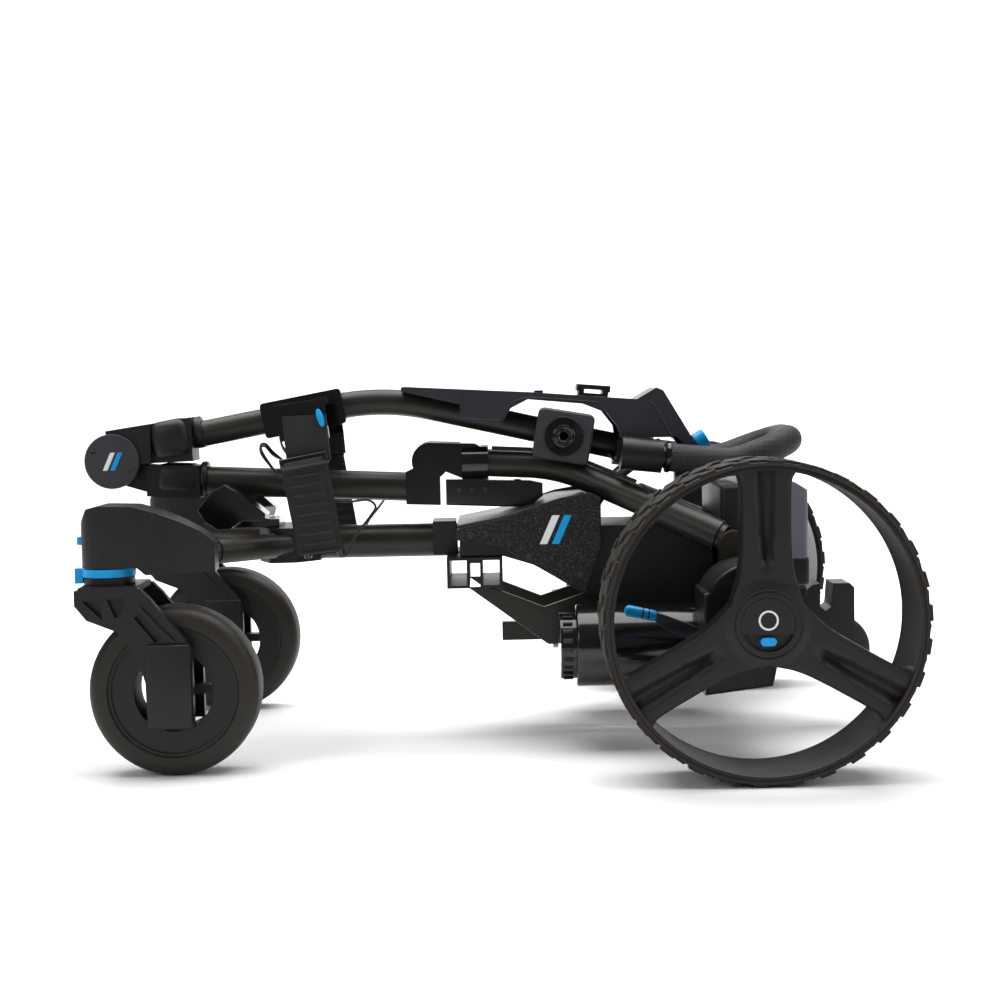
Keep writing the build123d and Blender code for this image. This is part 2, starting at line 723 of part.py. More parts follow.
ear_thickness = 14
with BuildPart() as upper_hinge_socket:
    with BuildSketch(Plane.XZ.offset(-knuckle_half - ear_thickness)):
        with BuildLine():
            Polyline((-398, 337), (-308, 350), (-306, 303), (-340, 302), (hinge_x, 300), close=True)
        make_face()
        with Locations((hinge_x, hinge_z)):
            Circle(hinge_radius)
    extrude(amount=2 * (knuckle_half + ear_thickness))
    add(rod(hinge_x, hinge_z, hinge_radius + turn_clearance, -knuckle_half, knuckle_half),
        mode=Mode.SUBTRACT)
    add(slab([(hinge_x, 260), (hinge_x, hinge_z), (-361, 301), (-355, 301), (-355, 260)],
             -knuckle_half, knuckle_half), mode=Mode.SUBTRACT)
    add(rod(hinge_x, hinge_z, hinge_pin_radius, -40, 40), mode=Mode.SUBTRACT)
    add(handle_solid, mode=Mode.SUBTRACT)
    for near in (-40, 22):
        add(slab([(-350, 290), (-350, 360), (-300, 360), (-300, 290)], near, near + 18), mode=Mode.SUBTRACT)

with BuildPart() as hinge_pin:
    add(rod(hinge_x, hinge_z, hinge_pin_radius, -knuckle_half - ear_thickness, knuckle_half + ear_thickness))
    for near in (-knuckle_half - ear_thickness - 4, knuckle_half + ear_thickness):
        add(rod(hinge_x, hinge_z, hinge_radius + 0.3, near, near + 4))
    chamfer(hinge_pin.edges().filter_by(GeomType.CIRCLE).group_by(SortBy.RADIUS)[-1], 0.8)

# ---- Upper bag cradle: clamp on the handle tube, side arms, straps and pads ----
clamp_plane = Plane(origin=(cradle_x, 0, handle_axis(cradle_x)), x_dir=(1, 0, rise), z_dir=(0, -1, 0))
with BuildPart() as upper_cradle:
    with BuildSketch(clamp_plane.offset(-24)):
        RectangleRounded(88, 38, 4)
    extrude(amount=48)
    with BuildSketch(clamp_plane.offset(-cradle_half_width)):
        with Locations((8, 8)):
            Rectangle(50, 7)
    extrude(amount=2 * cradle_half_width)
    for near in (-cradle_half_width, cradle_half_width - 5):
        with BuildSketch(clamp_plane.offset(near)):
            with BuildLine():
                Polyline((-20, 13), (31, 11), (29, -30), (-22, -24), close=True)
            make_face()
        extrude(amount=5)
    add(handle_solid, mode=Mode.SUBTRACT)

strap_near = cradle_half_width + slide_clearance
with BuildPart() as strap:
    add(slab([(-203, 350), (-158, 352), (-151, 304), (-197, 300)], strap_near, strap_near + strap_thickness))
with BuildPart() as strap_pad:
    add(slab([(-205, 297), (-156, 305), (-137, 212), (-141, 204), (-184, 203), (-187, 209)],
             strap_near + 0.5, strap_near + 0.5 + pad_thickness))
    add(strap.part, mode=Mode.SUBTRACT)

# ---- Handle loop with its rubber grip ----
loop_end_x = 332
loop_points = [(160, -loop_half_width, 303), (268, -loop_half_width, 291), (loop_end_x, -loop_half_width, 314),
               (loop_end_x, loop_half_width, 314), (268, loop_half_width, 291), (160, loop_half_width, 303)]
loop_bends = [60, 40, 40, 60]
handle_loop = bent_tube(loop_points, loop_bends, loop_radius, tube_wall)
loop_solid = bent_bar(loop_points, loop_bends, loop_radius)
grip_start_x = 197
with BuildPart() as handle_grip:
    add(bent_bar(loop_points, loop_bends, grip_radius))
    with BuildSketch(Plane.YZ.offset(grip_start_x)):
        with Locations((0, 300)):
            Rectangle(300, 120)
    extrude(amount=-80, mode=Mode.SUBTRACT)
    add(loop_solid, mode=Mode.SUBTRACT)

# ---- Console: base with the two loop sockets, cover, clip, dial and power button ----
with BuildPart() as console_base:
    add(slab([(146, 293), (148, 317), (188, 317), (192, 283), (168, 284)],
             -console_half_width + 4, console_half_width - 4))
    for side in (-1, 1):
        add(bar_between((150, side * loop_half_width, 304.1), (193, side * loop_half_width, 299.3), 17.5))
    with BuildSketch(Plane.XZ.offset(-loop_half_width)):
        with Locations((171, 301)):
            Rectangle(34, 24)
    extrude(amount=2 * loop_half_width)
    add(loop_solid, mode=Mode.SUBTRACT)
    add(handle_solid, mode=Mode.SUBTRACT)

cover_top = [(-81, 378), (-19, 374.5), (58, 369.5), (169, 360), (190, 372), (197, 369), (238, 300)]
cover_foot = [(229, 297), (212, 319), (150, 319), (148, 331), (136, 347), (114, 356), (53, 362), (35, 353),
              (25, 337), (-19, 346), (-19, 358), (-81, 373)]
dial_origin = (232.5, 0, 309.3)
dial_normal = (0.862, 0, 0.507)
button_x = 66
with BuildPart() as console_cover:
    add(slab(cover_top + cover_foot, -console_half_width, console_half_width))
    fillet(console_cover.edges().filter_by(Axis.Y).group_by(Axis.Z)[-1], 2)
    add(slab([(-72, 330), (-72, 372), (-19, 371.5), (58, 366.5), (165, 357), (188, 367), (194, 366),
              (226, 313), (205, 290), (-40, 290)],
             -console_half_width + console_wall, console_half_width - console_wall), mode=Mode.SUBTRACT)
    add(handle_solid, mode=Mode.SUBTRACT)
    with BuildSketch(Plane(origin=dial_origin, z_dir=dial_normal)):
        Circle(3 + slide_clearance)
    extrude(amount=20, both=True, mode=Mode.SUBTRACT)
    add(pole(button_x, 0, 5 + slide_clearance, 362, 375), mode=Mode.SUBTRACT)
    add(loop_solid, mode=Mode.SUBTRACT)

with BuildPart() as speed_dial:
    with BuildSketch(Plane(origin=dial_origin, z_dir=dial_normal).offset(slide_clearance + 3.2)):
        RegularPolygon(dial_radius, 12)
    extrude(amount=dial_height)
    with BuildSketch(Plane(origin=dial_origin, z_dir=dial_normal).offset(-6)):
        Circle(3)
    extrude(amount=12)

power_button = pole(button_x, 0, 5, 365, 371.3)

clip_slope = (369.5 - 360) / (169 - 58)
clip_plane = Plane(origin=(124, 0, 369.5 - clip_slope * (124 - 58) + 0.1), x_dir=(1, 0, -clip_slope),
                   z_dir=(0, -1, 0))
with BuildPart() as console_clip:
    with BuildSketch(clip_plane.offset(-18)):
        with BuildLine():
            Polyline((-16, 0), (-16, 5), (-18, 5), (-18, 12), (18, 12), (18, 5), (16, 5), (16, 0), close=True)
        make_face()
        with Locations((0, 5)):
            Rectangle(20, 4, mode=Mode.SUBTRACT)
    extrude(amount=36)

# ---- Accessory mount: clamp on the handle tube with a square toothed head ----
mount_x = 90
mount_tilt = 10
mount_hole_radius = 5.8
mount_plane = Plane(origin=(mount_x, 0, handle_axis(mount_x)), z_dir=(0, -1, 0),
                    x_dir=(1, 0, -math.tan(math.radians(mount_tilt))))
with BuildPart() as accessory_mount:
    add(bar_between((mount_x - 15, 0, handle_axis(mount_x - 15)), (mount_x + 15, 0, handle_axis(mount_x + 15)),
                    handle_radius + 3))
    with BuildSketch(mount_plane.offset(6)):
        Circle(12)
    extrude(amount=34)
    with BuildSketch(mount_plane.offset(40)):
        RectangleRounded(60, 54, 7)
    extrude(amount=16)
    chamfer(accessory_mount.faces().sort_by(Axis.Y)[0].edges(), 2)
    with BuildSketch(mount_plane.offset(56)):
        Circle(21)
        Circle(12, mode=Mode.SUBTRACT)
    extrude(amount=1.5)
    with BuildSketch(mount_plane.offset(20)):
        Circle(mount_hole_radius)
    extrude(amount=40, mode=Mode.SUBTRACT)
    add(handle_solid, mode=Mode.SUBTRACT)

# ---- Brake lever: a flat arm with a blue tip on the left gearbox ----
lever_pivot_x = 232
lever_pivot_z = 122
with BuildPart() as brake_lever:
    with BuildSketch(Plane.XZ.offset(gearbox_outer + 1)):
        with Locations((lever_pivot_x, lever_pivot_z)):
            Circle(9)
        with BuildLine():
            Polyline((lever_pivot_x, 130), (lever_pivot_x, 114), (172, 140), (174, 151), close=True)
        make_face()
        with BuildLine():
            Polyline((176, 138), (178, 152), (150, 159), (142, 157), (140, 151), (146, 146), close=True)
        make_face()
    extrude(amount=6)
    add(rod(lever_pivot_x, lever_pivot_z, 4, gearbox_outer - 10, gearbox_outer + 7))
with BuildPart() as gearbox_left:
    add(gearbox.part)
    add(rod(lever_pivot_x, lever_pivot_z, 4 + fit_clearance, gearbox_outer - 12, gearbox_outer + 1),
        mode=Mode.SUBTRACT)

# ---- Control cable on top of the left stay, and the visible screws ----
cable_lift = stay_radius + 2.8
cable_points = [(x, y, z + cable_lift) for x, y, z in
                [(14, -stay_spread, 294), (85, -stay_spread, 290), (165, -60, 257)]]
control_cable = bent_bar(cable_points, stay_bend, 2)

screw_places = [(-10, 222), (50, 198), (100, 240), (104, 178)]
with BuildPart() as panel_screws:
    for x, z in screw_places:
        add(rod(x, z, 3.2, panel_half_width, panel_half_width + 1.2))
with BuildPart() as latch_screws:
    for x in (-22, -8, 6):
        add(rod(x, 266, 2.5, 22, 23.2))


pieces = {
    "lower_tube": lower_tube.part,
    "front_yoke": front_yoke.part,
    "yoke_legs": Compound(children=[both_sides(leg.part), both_sides(leg_sleeve.part)]),
    "caster_housings": both_sides(caster_housing.part),
    "bag_cradle_lower": bag_cradle_lower.part,
    "front_bracket": front_bracket.part,
    "chassis_tub": chassis_tub.part,
    "chassis_cover": chassis_cover.part,
    "side_panels": both_sides(side_panel),
    "stays": Compound(children=[both_sides(stay_tube), both_sides(stay_sleeve.part),
                                both_sides(stay_knuckle.part)]),
    "arch_bracket": Compound(children=[arch_bracket.part, mast_pin]),
    "latch_box": latch_box.part,
    "rear_frame": rear_frame.part,
    "gearboxes": Compound(children=[gearbox_left.part, mirror(gearbox.part, about=Plane.XZ)]),
    "motors": both_sides(motor.part),
    "strut_arms": Compound(children=[both_sides(strut), mirror(support_bar, about=Plane.XZ)]),
    "rear_bracket": rear_bracket.part,
    "control_cable": control_cable,
    "fasteners": Compound(children=[both_sides(panel_screws.part), both_sides(latch_screws.part)]),
    "battery_case": battery_case.part,
    "anti_tip_wheel": anti_tip_wheel.part,
    "mast_tube": mast_tube.part,
    "mast_block": mast_block.part,
    "lower_hinge_socket": lower_hinge_socket.part,
    "handle_tube": handle_tube,
    "upper_hinge_socket": upper_hinge_socket.part,
    "hinge_pin": hinge_pin.part,
    "upper_cradle": upper_cradle.part,
    "straps": both_sides(strap.part),
    "strap_pads": both_sides(strap_pad.part),
    "console_base": console_base.part,
    "console_cover": console_cover.part,
    "console_clip": console_clip.part,
    "accessory_mount": accessory_mount.part,
    "handle_loop": handle_loop,
    "handle_grip": handle_grip.part,
    "speed_dial": speed_dial.part,
    "power_button": power_button,
    "brake_lever": brake_lever.part,
}
paired_pieces = {
    "rim": rim.part,
    "tyre": tyre.part,
    "hub_cap": hub_cap.part,
    "release_button": release_button.part,
    "drive_axle": drive_axle,
    "caster_fork": caster_fork.part,
    "caster_rim": caster_rim.part,
    "caster_tyre": caster_tyre.part,
    "lock_ring": lock_ring.part,
    "lock_button": lock_button.part,
}
for name, piece in paired_pieces.items():
    pieces[name + "_left"] = piece
    pieces[name + "_right"] = mirror(piece, about=Plane.XZ)

os.makedirs("parts", exist_ok=True)
for name, piece in pieces.items():
    piece.label = name
    export_step(piece, "parts/" + name + ".step")
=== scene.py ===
import bpy
import bmesh
import json
import math
from mathutils import Matrix, Vector


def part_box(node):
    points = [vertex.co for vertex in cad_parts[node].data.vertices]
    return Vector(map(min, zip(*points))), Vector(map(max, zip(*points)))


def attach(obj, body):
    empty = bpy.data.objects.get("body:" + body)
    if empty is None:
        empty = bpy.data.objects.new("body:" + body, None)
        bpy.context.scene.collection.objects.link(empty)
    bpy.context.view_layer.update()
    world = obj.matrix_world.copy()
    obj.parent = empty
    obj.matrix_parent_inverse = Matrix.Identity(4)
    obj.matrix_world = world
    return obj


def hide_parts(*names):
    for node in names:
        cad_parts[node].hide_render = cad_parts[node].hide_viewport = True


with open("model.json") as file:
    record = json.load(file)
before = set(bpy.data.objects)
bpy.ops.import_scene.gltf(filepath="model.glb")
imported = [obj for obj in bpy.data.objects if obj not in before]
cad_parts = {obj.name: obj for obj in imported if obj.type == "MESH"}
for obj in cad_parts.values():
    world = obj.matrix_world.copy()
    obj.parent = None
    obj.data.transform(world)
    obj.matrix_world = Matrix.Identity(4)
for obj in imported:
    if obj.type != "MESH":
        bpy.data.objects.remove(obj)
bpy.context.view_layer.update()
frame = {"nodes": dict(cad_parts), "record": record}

bodyOf = {node: body for body, nodes in frame["record"]["behaviour"]["bodies"].items() for node in nodes}
sides = {"left": -1, "right": 1}  # each side and the sign of its y
print("frame loaded")


# shared shader groups
def newGroup(name, inputs, outputs):
    group = bpy.data.node_groups.new(name, "ShaderNodeTree")
    for label, kind, value in inputs:
        socket = group.interface.new_socket(label, in_out="INPUT", socket_type=kind)
        socket.default_value = value
    for label, kind in outputs:
        group.interface.new_socket(label, in_out="OUTPUT", socket_type=kind)
    return group, group.nodes.new("NodeGroupInput"), group.nodes.new("NodeGroupOutput")


def addNode(tree, kind, values=None, **settings):
    node = tree.nodes.new(kind)
    for name, value in settings.items():
        setattr(node, name, value)
    for name, value in (values or {}).items():
        node.inputs[name].default_value = value
    return node


def makeGrainGroup():  # fine moulded grain, with slow patches that the roughness follows
    group, start, end = newGroup(
        "mouldedGrain",
        (("Grain Scale", "NodeSocketFloat", 1500.0), ("Patch Scale", "NodeSocketFloat", 22.0)),
        (("Height", "NodeSocketFloat"), ("Patch", "NodeSocketFloat")))
    place = addNode(group, "ShaderNodeTexCoord")
    fine = addNode(group, "ShaderNodeTexNoise", {"Detail": 3.0, "Roughness": 0.6})
    coarse = addNode(group, "ShaderNodeTexNoise", {"Detail": 4.0, "Roughness": 0.55})
    links = group.links
    links.new(place.outputs["Object"], fine.inputs["Vector"])
    links.new(place.outputs["Object"], coarse.inputs["Vector"])
    links.new(start.outputs["Grain Scale"], fine.inputs["Scale"])
    links.new(start.outputs["Patch Scale"], coarse.inputs["Scale"])
    links.new(fine.outputs["Fac"], end.inputs["Height"])
    links.new(coarse.outputs["Fac"], end.inputs["Patch"])
    return group


def makeTopSheenGroup():  # painted highlight: a mask that paints a pale colour in patches on upward faces, standing in for the top light
    group, start, end = newGroup(
        "paintedTopSheen",
        (("Amount", "NodeSocketFloat", 0.2), ("Scale", "NodeSocketFloat", 60.0)),
        (("Mask", "NodeSocketFloat"),))
    place = addNode(group, "ShaderNodeTexCoord")
    surface = addNode(group, "ShaderNodeNewGeometry")
    split = addNode(group, "ShaderNodeSeparateXYZ")
    up = addNode(group, "ShaderNodeMapRange", {"From Min": 0.2, "From Max": 1.0})
    cloud = addNode(group, "ShaderNodeTexNoise", {"Detail": 6.0, "Roughness": 0.7})
    patch = addNode(group, "ShaderNodeMapRange", {"From Min": 0.45, "From Max": 0.75})
    both = addNode(group, "ShaderNodeMath", operation="MULTIPLY")
    total = addNode(group, "ShaderNodeMath", operation="MULTIPLY")
    links = group.links
    links.new(surface.outputs["Normal"], split.inputs["Vector"])
    links.new(split.outputs["Z"], up.inputs["Value"])
    links.new(place.outputs["Object"], cloud.inputs["Vector"])
    links.new(start.outputs["Scale"], cloud.inputs["Scale"])
    links.new(cloud.outputs["Fac"], patch.inputs["Value"])
    links.new(up.outputs["Result"], both.inputs[0])
    links.new(patch.outputs["Result"], both.inputs[1])
    links.new(both.outputs["Value"], total.inputs[0])
    links.new(start.outputs["Amount"], total.inputs[1])
    links.new(total.outputs["Value"], end.inputs["Mask"])
    return group


grainGroup = makeGrainGroup()
topSheenGroup = makeTopSheenGroup()


# the pale colour of the painted highlight on upward faces
topSheenColour = (0.16, 0.15, 0.14, 1)


def makeFinish(name, look):
    material = bpy.data.materials.new(name)
    material.use_nodes = True
    tree = material.node_tree
    shader = tree.nodes["Principled BSDF"]
    shader.inputs["Metallic"].default_value = look.get("metal", 0.0)
    shader.inputs["IOR"].default_value = look.get("ior", 1.35)
    shader.inputs["Coat Weight"].default_value = look.get("coat", 0.0)
    shader.inputs["Coat Roughness"].default_value = look.get("coatRough", 0.2)
    shader.inputs["Sheen Weight"].default_value = look.get("sheen", 0.0)
    grain = addNode(tree, "ShaderNodeGroup", node_tree=grainGroup)
    grain.inputs["Grain Scale"].default_value = look["grainScale"]
    grain.inputs["Patch Scale"].default_value = look.get("patchScale", 22.0)
    # painted highlight: a pale colour mixed into the base colour on upward faces
    topSheen = addNode(tree, "ShaderNodeGroup", node_tree=topSheenGroup)
    topSheen.inputs["Amount"].default_value = look.get("topSheen", 0.1)
    tint = addNode(tree, "ShaderNodeMix", data_type="RGBA")
    tint.inputs["A"].default_value = (*look["dark"], 1)
    tint.inputs["B"].default_value = (*look["light"], 1)
    topLit = addNode(tree, "ShaderNodeMix", data_type="RGBA")
    topLit.inputs["B"].default_value = topSheenColour
    rough = addNode(tree, "ShaderNodeMapRange", {"To Min": look["roughLow"], "To Max": look["roughHigh"]})
    bump = addNode(tree, "ShaderNodeBump", {"Strength": look["bump"], "Distance": look.get("depth", 0.0004)})
    links = tree.links
    source = grain.outputs["Patch"]
    if look.get("speckle"):  # sharp light specks in a dark ground
        specks = addNode(tree, "ShaderNodeMapRange", {"From Min": 0.52, "From Max": 0.68})
        links.new(grain.outputs["Height"], specks.inputs["Value"])
        source = specks.outputs["Result"]
    links.new(source, tint.inputs["Factor"])
    links.new(tint.outputs["Result"], topLit.inputs["A"])
    links.new(topSheen.outputs["Mask"], topLit.inputs["Factor"])
    links.new(topLit.outputs["Result"], shader.inputs["Base Color"])
    links.new(grain.outputs["Patch"], rough.inputs["Value"])
    links.new(rough.outputs["Result"], shader.inputs["Roughness"])
    links.new(grain.outputs["Height"], bump.inputs["Height"])
    links.new(bump.outputs["Normal"], shader.inputs["Normal"])
    return material


def makeWebbing():  # plain weave in two crossing waves
    material = makeFinish("strapWebbing", dict(
        dark=(0.008, 0.008, 0.009), light=(0.022, 0.022, 0.024), roughLow=0.75, roughHigh=0.95,
        grainScale=900, bump=0.3, sheen=0.25, topSheen=0.1))
    tree = material.node_tree
    place = addNode(tree, "ShaderNodeTexCoord")
    warp = addNode(tree, "ShaderNodeTexWave", {"Scale": 260.0, "Distortion": 0.3}, bands_direction="X")
    weft = addNode(tree, "ShaderNodeTexWave", {"Scale": 260.0, "Distortion": 0.3}, bands_direction="Z")
    cross = addNode(tree, "ShaderNodeMath", operation="MAXIMUM")
    bump = addNode(tree, "ShaderNodeBump", {"Strength": 0.6, "Distance": 0.0006})
    shader = tree.nodes["Principled BSDF"]
    tree.links.new(place.outputs["Object"], warp.inputs["Vector"])
    tree.links.new(place.outputs["Object"], weft.inputs["Vector"])
    tree.links.new(warp.outputs["Fac"], cross.inputs[0])
    tree.links.new(weft.outputs["Fac"], cross.inputs[1])
    tree.links.new(cross.outputs["Value"], bump.inputs["Height"])
    tree.links.new(bump.outputs["Normal"], shader.inputs["Normal"])
    return material


def makeGripRubber():  # rows of raised dots
    material = makeFinish("gripRubber", dict(
        dark=(0.014, 0.014, 0.015), light=(0.026, 0.026, 0.028), roughLow=0.5, roughHigh=0.68,
        grainScale=1400, bump=0.3, topSheen=0.12))
    tree = material.node_tree
    place = addNode(tree, "ShaderNodeTexCoord")
    cells = addNode(tree, "ShaderNodeTexVoronoi", {"Scale": 210.0, "Randomness": 0.0})
    dots = addNode(tree, "ShaderNodeMapRange",
                   {"From Min": 0.18, "From Max": 0.38, "To Min": 1.0, "To Max": 0.0})
    bump = addNode(tree, "ShaderNodeBump", {"Strength": 0.55, "Distance": 0.0008})
    shader = tree.nodes["Principled BSDF"]
    tree.links.new(place.outputs["Object"], cells.inputs["Vector"])
    tree.links.new(cells.outputs["Distance"], dots.inputs["Value"])
    tree.links.new(dots.outputs["Result"], bump.inputs["Height"])
    tree.links.new(bump.outputs["Normal"], shader.inputs["Normal"])
    return material


# each finish also sets how strong the painted highlight on its upward faces is
finishLooks = {
    "powderCoat": dict(
        dark=(0.011, 0.0102, 0.0095), light=(0.017, 0.0157, 0.0143), roughLow=0.33, roughHigh=0.45,
        grainScale=1100, bump=0.18, topSheen=0.08, coat=0.1, coatRough=0.35),
    "mouldedBlack": dict(
        dark=(0.006, 0.006, 0.0066), light=(0.012, 0.012, 0.0132), roughLow=0.32, roughHigh=0.48,
        grainScale=1800, bump=0.32, topSheen=0.12),
    "wheelPlastic": dict(
        dark=(0.010, 0.0088, 0.0088), light=(0.016, 0.0142, 0.0142), roughLow=0.40, roughHigh=0.54,
        grainScale=1500, bump=0.25, topSheen=0.1),
    "glossBlack": dict(
        dark=(0.0025, 0.0025, 0.003), light=(0.005, 0.005, 0.0056), roughLow=0.10, roughHigh=0.20,
        grainScale=500, bump=0.04, topSheen=0.05, ior=1.46, coat=0.2, coatRough=0.08),
    "speckledPanel": dict(
        dark=(0.004, 0.004, 0.004), light=(0.055, 0.055, 0.055), roughLow=0.5, roughHigh=0.7,
        grainScale=780, bump=0.7, depth=0.0006, topSheen=0.0, speckle=True),
    "coverPlastic": dict(
        dark=(0.022, 0.0215, 0.027), light=(0.031, 0.0305, 0.038), roughLow=0.28, roughHigh=0.40,
        grainScale=1300, bump=0.2, topSheen=0.1),
    "bluePlastic": dict(
        dark=(0.0, 0.27, 0.62), light=(0.004, 0.36, 0.80), roughLow=0.26, roughHigh=0.38,
        grainScale=1200, bump=0.1, topSheen=0.03),
    "treadRubber": dict(
        dark=(0.017, 0.0148, 0.0143), light=(0.030, 0.0258, 0.0243), roughLow=0.62, roughHigh=0.8,
        grainScale=1000, bump=0.35, topSheen=0.3, patchScale=40),
    "casterRubber": dict(
        dark=(0.012, 0.0112, 0.0106), light=(0.020, 0.0185, 0.0175), roughLow=0.40, roughHigh=0.56,
        grainScale=1200, bump=0.2, topSheen=0.12),
    "padRubber": dict(
        dark=(0.009, 0.0085, 0.0085), light=(0.015, 0.0142, 0.0142), roughLow=0.42, roughHigh=0.58,
        grainScale=1500, bump=0.3, topSheen=0.1),
    "batteryPlastic": dict(
        dark=(0.115, 0.112, 0.136), light=(0.155, 0.150, 0.180), roughLow=0.34, roughHigh=0.46,
        grainScale=1500, bump=0.25, topSheen=0.05),
    "turnedSteel": dict(
        dark=(0.42, 0.42, 0.44), light=(0.55, 0.55, 0.57), roughLow=0.2, roughHigh=0.34,
        grainScale=800, bump=0.1, topSheen=0.0, metal=1.0),
    "screwBlack": dict(
        dark=(0.03, 0.03, 0.032), light=(0.05, 0.05, 0.052), roughLow=0.25, roughHigh=0.35,
        grainScale=900, bump=0.1, topSheen=0.0, metal=0.6),
    "printWhite": dict(
        dark=(0.72, 0.72, 0.72), light=(0.82, 0.82, 0.82), roughLow=0.4, roughHigh=0.5,
        grainScale=900, bump=0.1, topSheen=0.0),
    "satinGrey": dict(
        dark=(0.030, 0.029, 0.034), light=(0.044, 0.043, 0.050), roughLow=0.34, roughHigh=0.48,
        grainScale=1500, bump=0.25, topSheen=0.05),
}
finishes = {name: makeFinish(name, look) for name, look in finishLooks.items()}
finishes["strapWebbing"] = makeWebbing()
finishes["gripRubber"] = makeGripRubber()
print("finishes made")


def finishPiece(piece, node, finish, replace=True):  # ride and finish of a new piece, and hiding of the node it replaces
    piece.data.materials.clear()
    piece.data.materials.append(finishes[finish])
    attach(piece, bodyOf[node])
    if replace:
        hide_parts(node)
    return piece


def objectFrom(bm, name):
    mesh = bpy.data.meshes.new(name)
    bm.to_mesh(mesh)
    bm.free()
    piece = bpy.data.objects.new(name, mesh)
    bpy.context.scene.collection.objects.link(piece)
    return piece


def smoothByAngle(piece, degrees=38):
    mesh = piece.data
    bm = bmesh.new()
    bm.from_mesh(mesh)
    limit = math.radians(degrees)
    for face in bm.faces:
        face.smooth = True
    for edge in bm.edges:
        edge.smooth = len(edge.link_faces) == 2 and edge.calc_face_angle(0) < limit
    bm.to_mesh(mesh)
    bm.free()


softEdge = dict(segments=3, angle=32, flatAngle=1.0)


def softEdgedNode(node, finish, radius):  # a merged copy of a node with rounded edges
    look = softEdge
    bm = bmesh.new()
    bm.from_mesh(frame["nodes"][node].data)
    bmesh.ops.remove_doubles(bm, verts=bm.verts, dist=0.00001)
    bmesh.ops.dissolve_limit(bm, angle_limit=math.radians(look["flatAngle"]), verts=bm.verts, edges=bm.edges)
    piece = objectFrom(bm, node + "_shell")
    smoothByAngle(piece)
    bevel = piece.modifiers.new("softEdges", "BEVEL")
    bevel.width = radius
    bevel.segments = look["segments"]
    bevel.limit_method = "ANGLE"
    bevel.angle_limit = math.radians(look["angle"])
    bevel.harden_normals = True
    return finishPiece(piece, node, finish)


# node: (finish, edge radius in metres)
softNodes = {
    "front_yoke": ("mouldedBlack", 0.002), "caster_housings": ("mouldedBlack", 0.006),
    "bag_cradle_lower": ("glossBlack", 0.002), "front_bracket": ("mouldedBlack", 0.0012),
    "chassis_tub": ("mouldedBlack", 0.0015), "chassis_cover": ("coverPlastic", 0.004),
    "side_panels": ("speckledPanel", 0.0012), "arch_bracket": ("glossBlack", 0.004),
    "latch_box": ("glossBlack", 0.0015), "rear_frame": ("mouldedBlack", 0.002),
    "gearboxes": ("mouldedBlack", 0.005), "motors": ("glossBlack", 0.001),
    "strut_arms": ("powderCoat", 0.0012), "rear_bracket": ("mouldedBlack", 0.002),
    "battery_case": ("batteryPlastic", 0.003), "anti_tip_wheel": ("treadRubber", 0.001),
    "mast_block": ("glossBlack", 0.002), "lower_hinge_socket": ("mouldedBlack", 0.007),
    "upper_hinge_socket": ("mouldedBlack", 0.007), "hinge_pin": ("satinGrey", 0.0015),
    "upper_cradle": ("glossBlack", 0.003), "console_base": ("mouldedBlack", 0.002),
    "console_cover": ("coverPlastic", 0.0015), "console_clip": ("mouldedBlack", 0.0008),
    "accessory_mount": ("satinGrey", 0.0025),
    "stays": ("powderCoat", 0.0006), "yoke_legs": ("powderCoat", 0.0006),
    "speed_dial": ("bluePlastic", 0.001),
}
plainNodes = {  # shapes that are right as they come
    "lower_tube": "powderCoat", "mast_tube": "powderCoat", "handle_tube": "powderCoat",
    "control_cable": "gripRubber", "fasteners": "screwBlack", "handle_loop": "powderCoat",
    "power_button": "mouldedBlack",
}
for side in sides:
    softNodes["hub_cap_" + side] = ("wheelPlastic", 0.0006)
    softNodes["release_button_" + side] = ("bluePlastic", 0.0012)
    softNodes["caster_fork_" + side] = ("mouldedBlack", 0.0035)
    softNodes["caster_rim_" + side] = ("mouldedBlack", 0.002)
    softNodes["lock_ring_" + side] = ("bluePlastic", 0.001)
    softNodes["lock_button_" + side] = ("bluePlastic", 0.001)
    plainNodes["drive_axle_" + side] = "turnedSteel"

for node, (finish, radius) in softNodes.items():
    softEdgedNode(node, finish, radius)
for node, finish in plainNodes.items():
    mesh = frame["nodes"][node].data
    for index in range(len(mesh.materials)):
        mesh.materials[index] = finishes[finish]
print("nodes finished")


def middleOf(low, high):
    return Vector([(a + b) / 2 for a, b in zip(low, high)])


def joinRows(bm, rows, closed=False):  # a strip of faces between each row of points and the next
    for first, second in zip(rows, rows[1:]):
        count = len(first)
        for k in range(count if closed else count - 1):
            after = (k + 1) % count
            bm.faces.new((first[k], first[after], second[after], second[k]))


def addBack(bm, across):  # gives the faces made so far walls and a flat back
    grown = bmesh.ops.extrude_face_region(bm, geom=list(bm.faces), use_keep_orig=True)["geom"]
    for vert in (item for item in grown if isinstance(item, bmesh.types.BMVert)):
        vert.co.y = across


def spinRing(bm, profile, centre, steps):  # profile of (radius, across) points turned about the axle
    points = [bm.verts.new(centre + Vector((0, across, radius))) for radius, across in profile]
    loop = [bm.edges.new((points[i], points[(i + 1) % len(points)])) for i in range(len(points))]
    bmesh.ops.spin(bm, geom=points + loop, cent=centre, axis=(0, 1, 0), dvec=(0, 0, 0),
                   angle=math.tau, steps=steps, use_merge=True)
    bmesh.ops.remove_doubles(bm, verts=bm.verts, dist=0.00002)
    bmesh.ops.recalc_face_normals(bm, faces=bm.faces)


# rear tyres: a thin band with two chevron rows and shoulder blocks
tyreLook = dict(rimDepth=0.006, lugHeight=0.0027, lugCount=30, lugEdge=0.0007, steps=120,
                chevronTurn=20.0, chevronSize=(0.019, 0.029), chevronAcross=0.0185,
                shoulderSize=(0.015, 0.009), shoulderInset=0.0052)


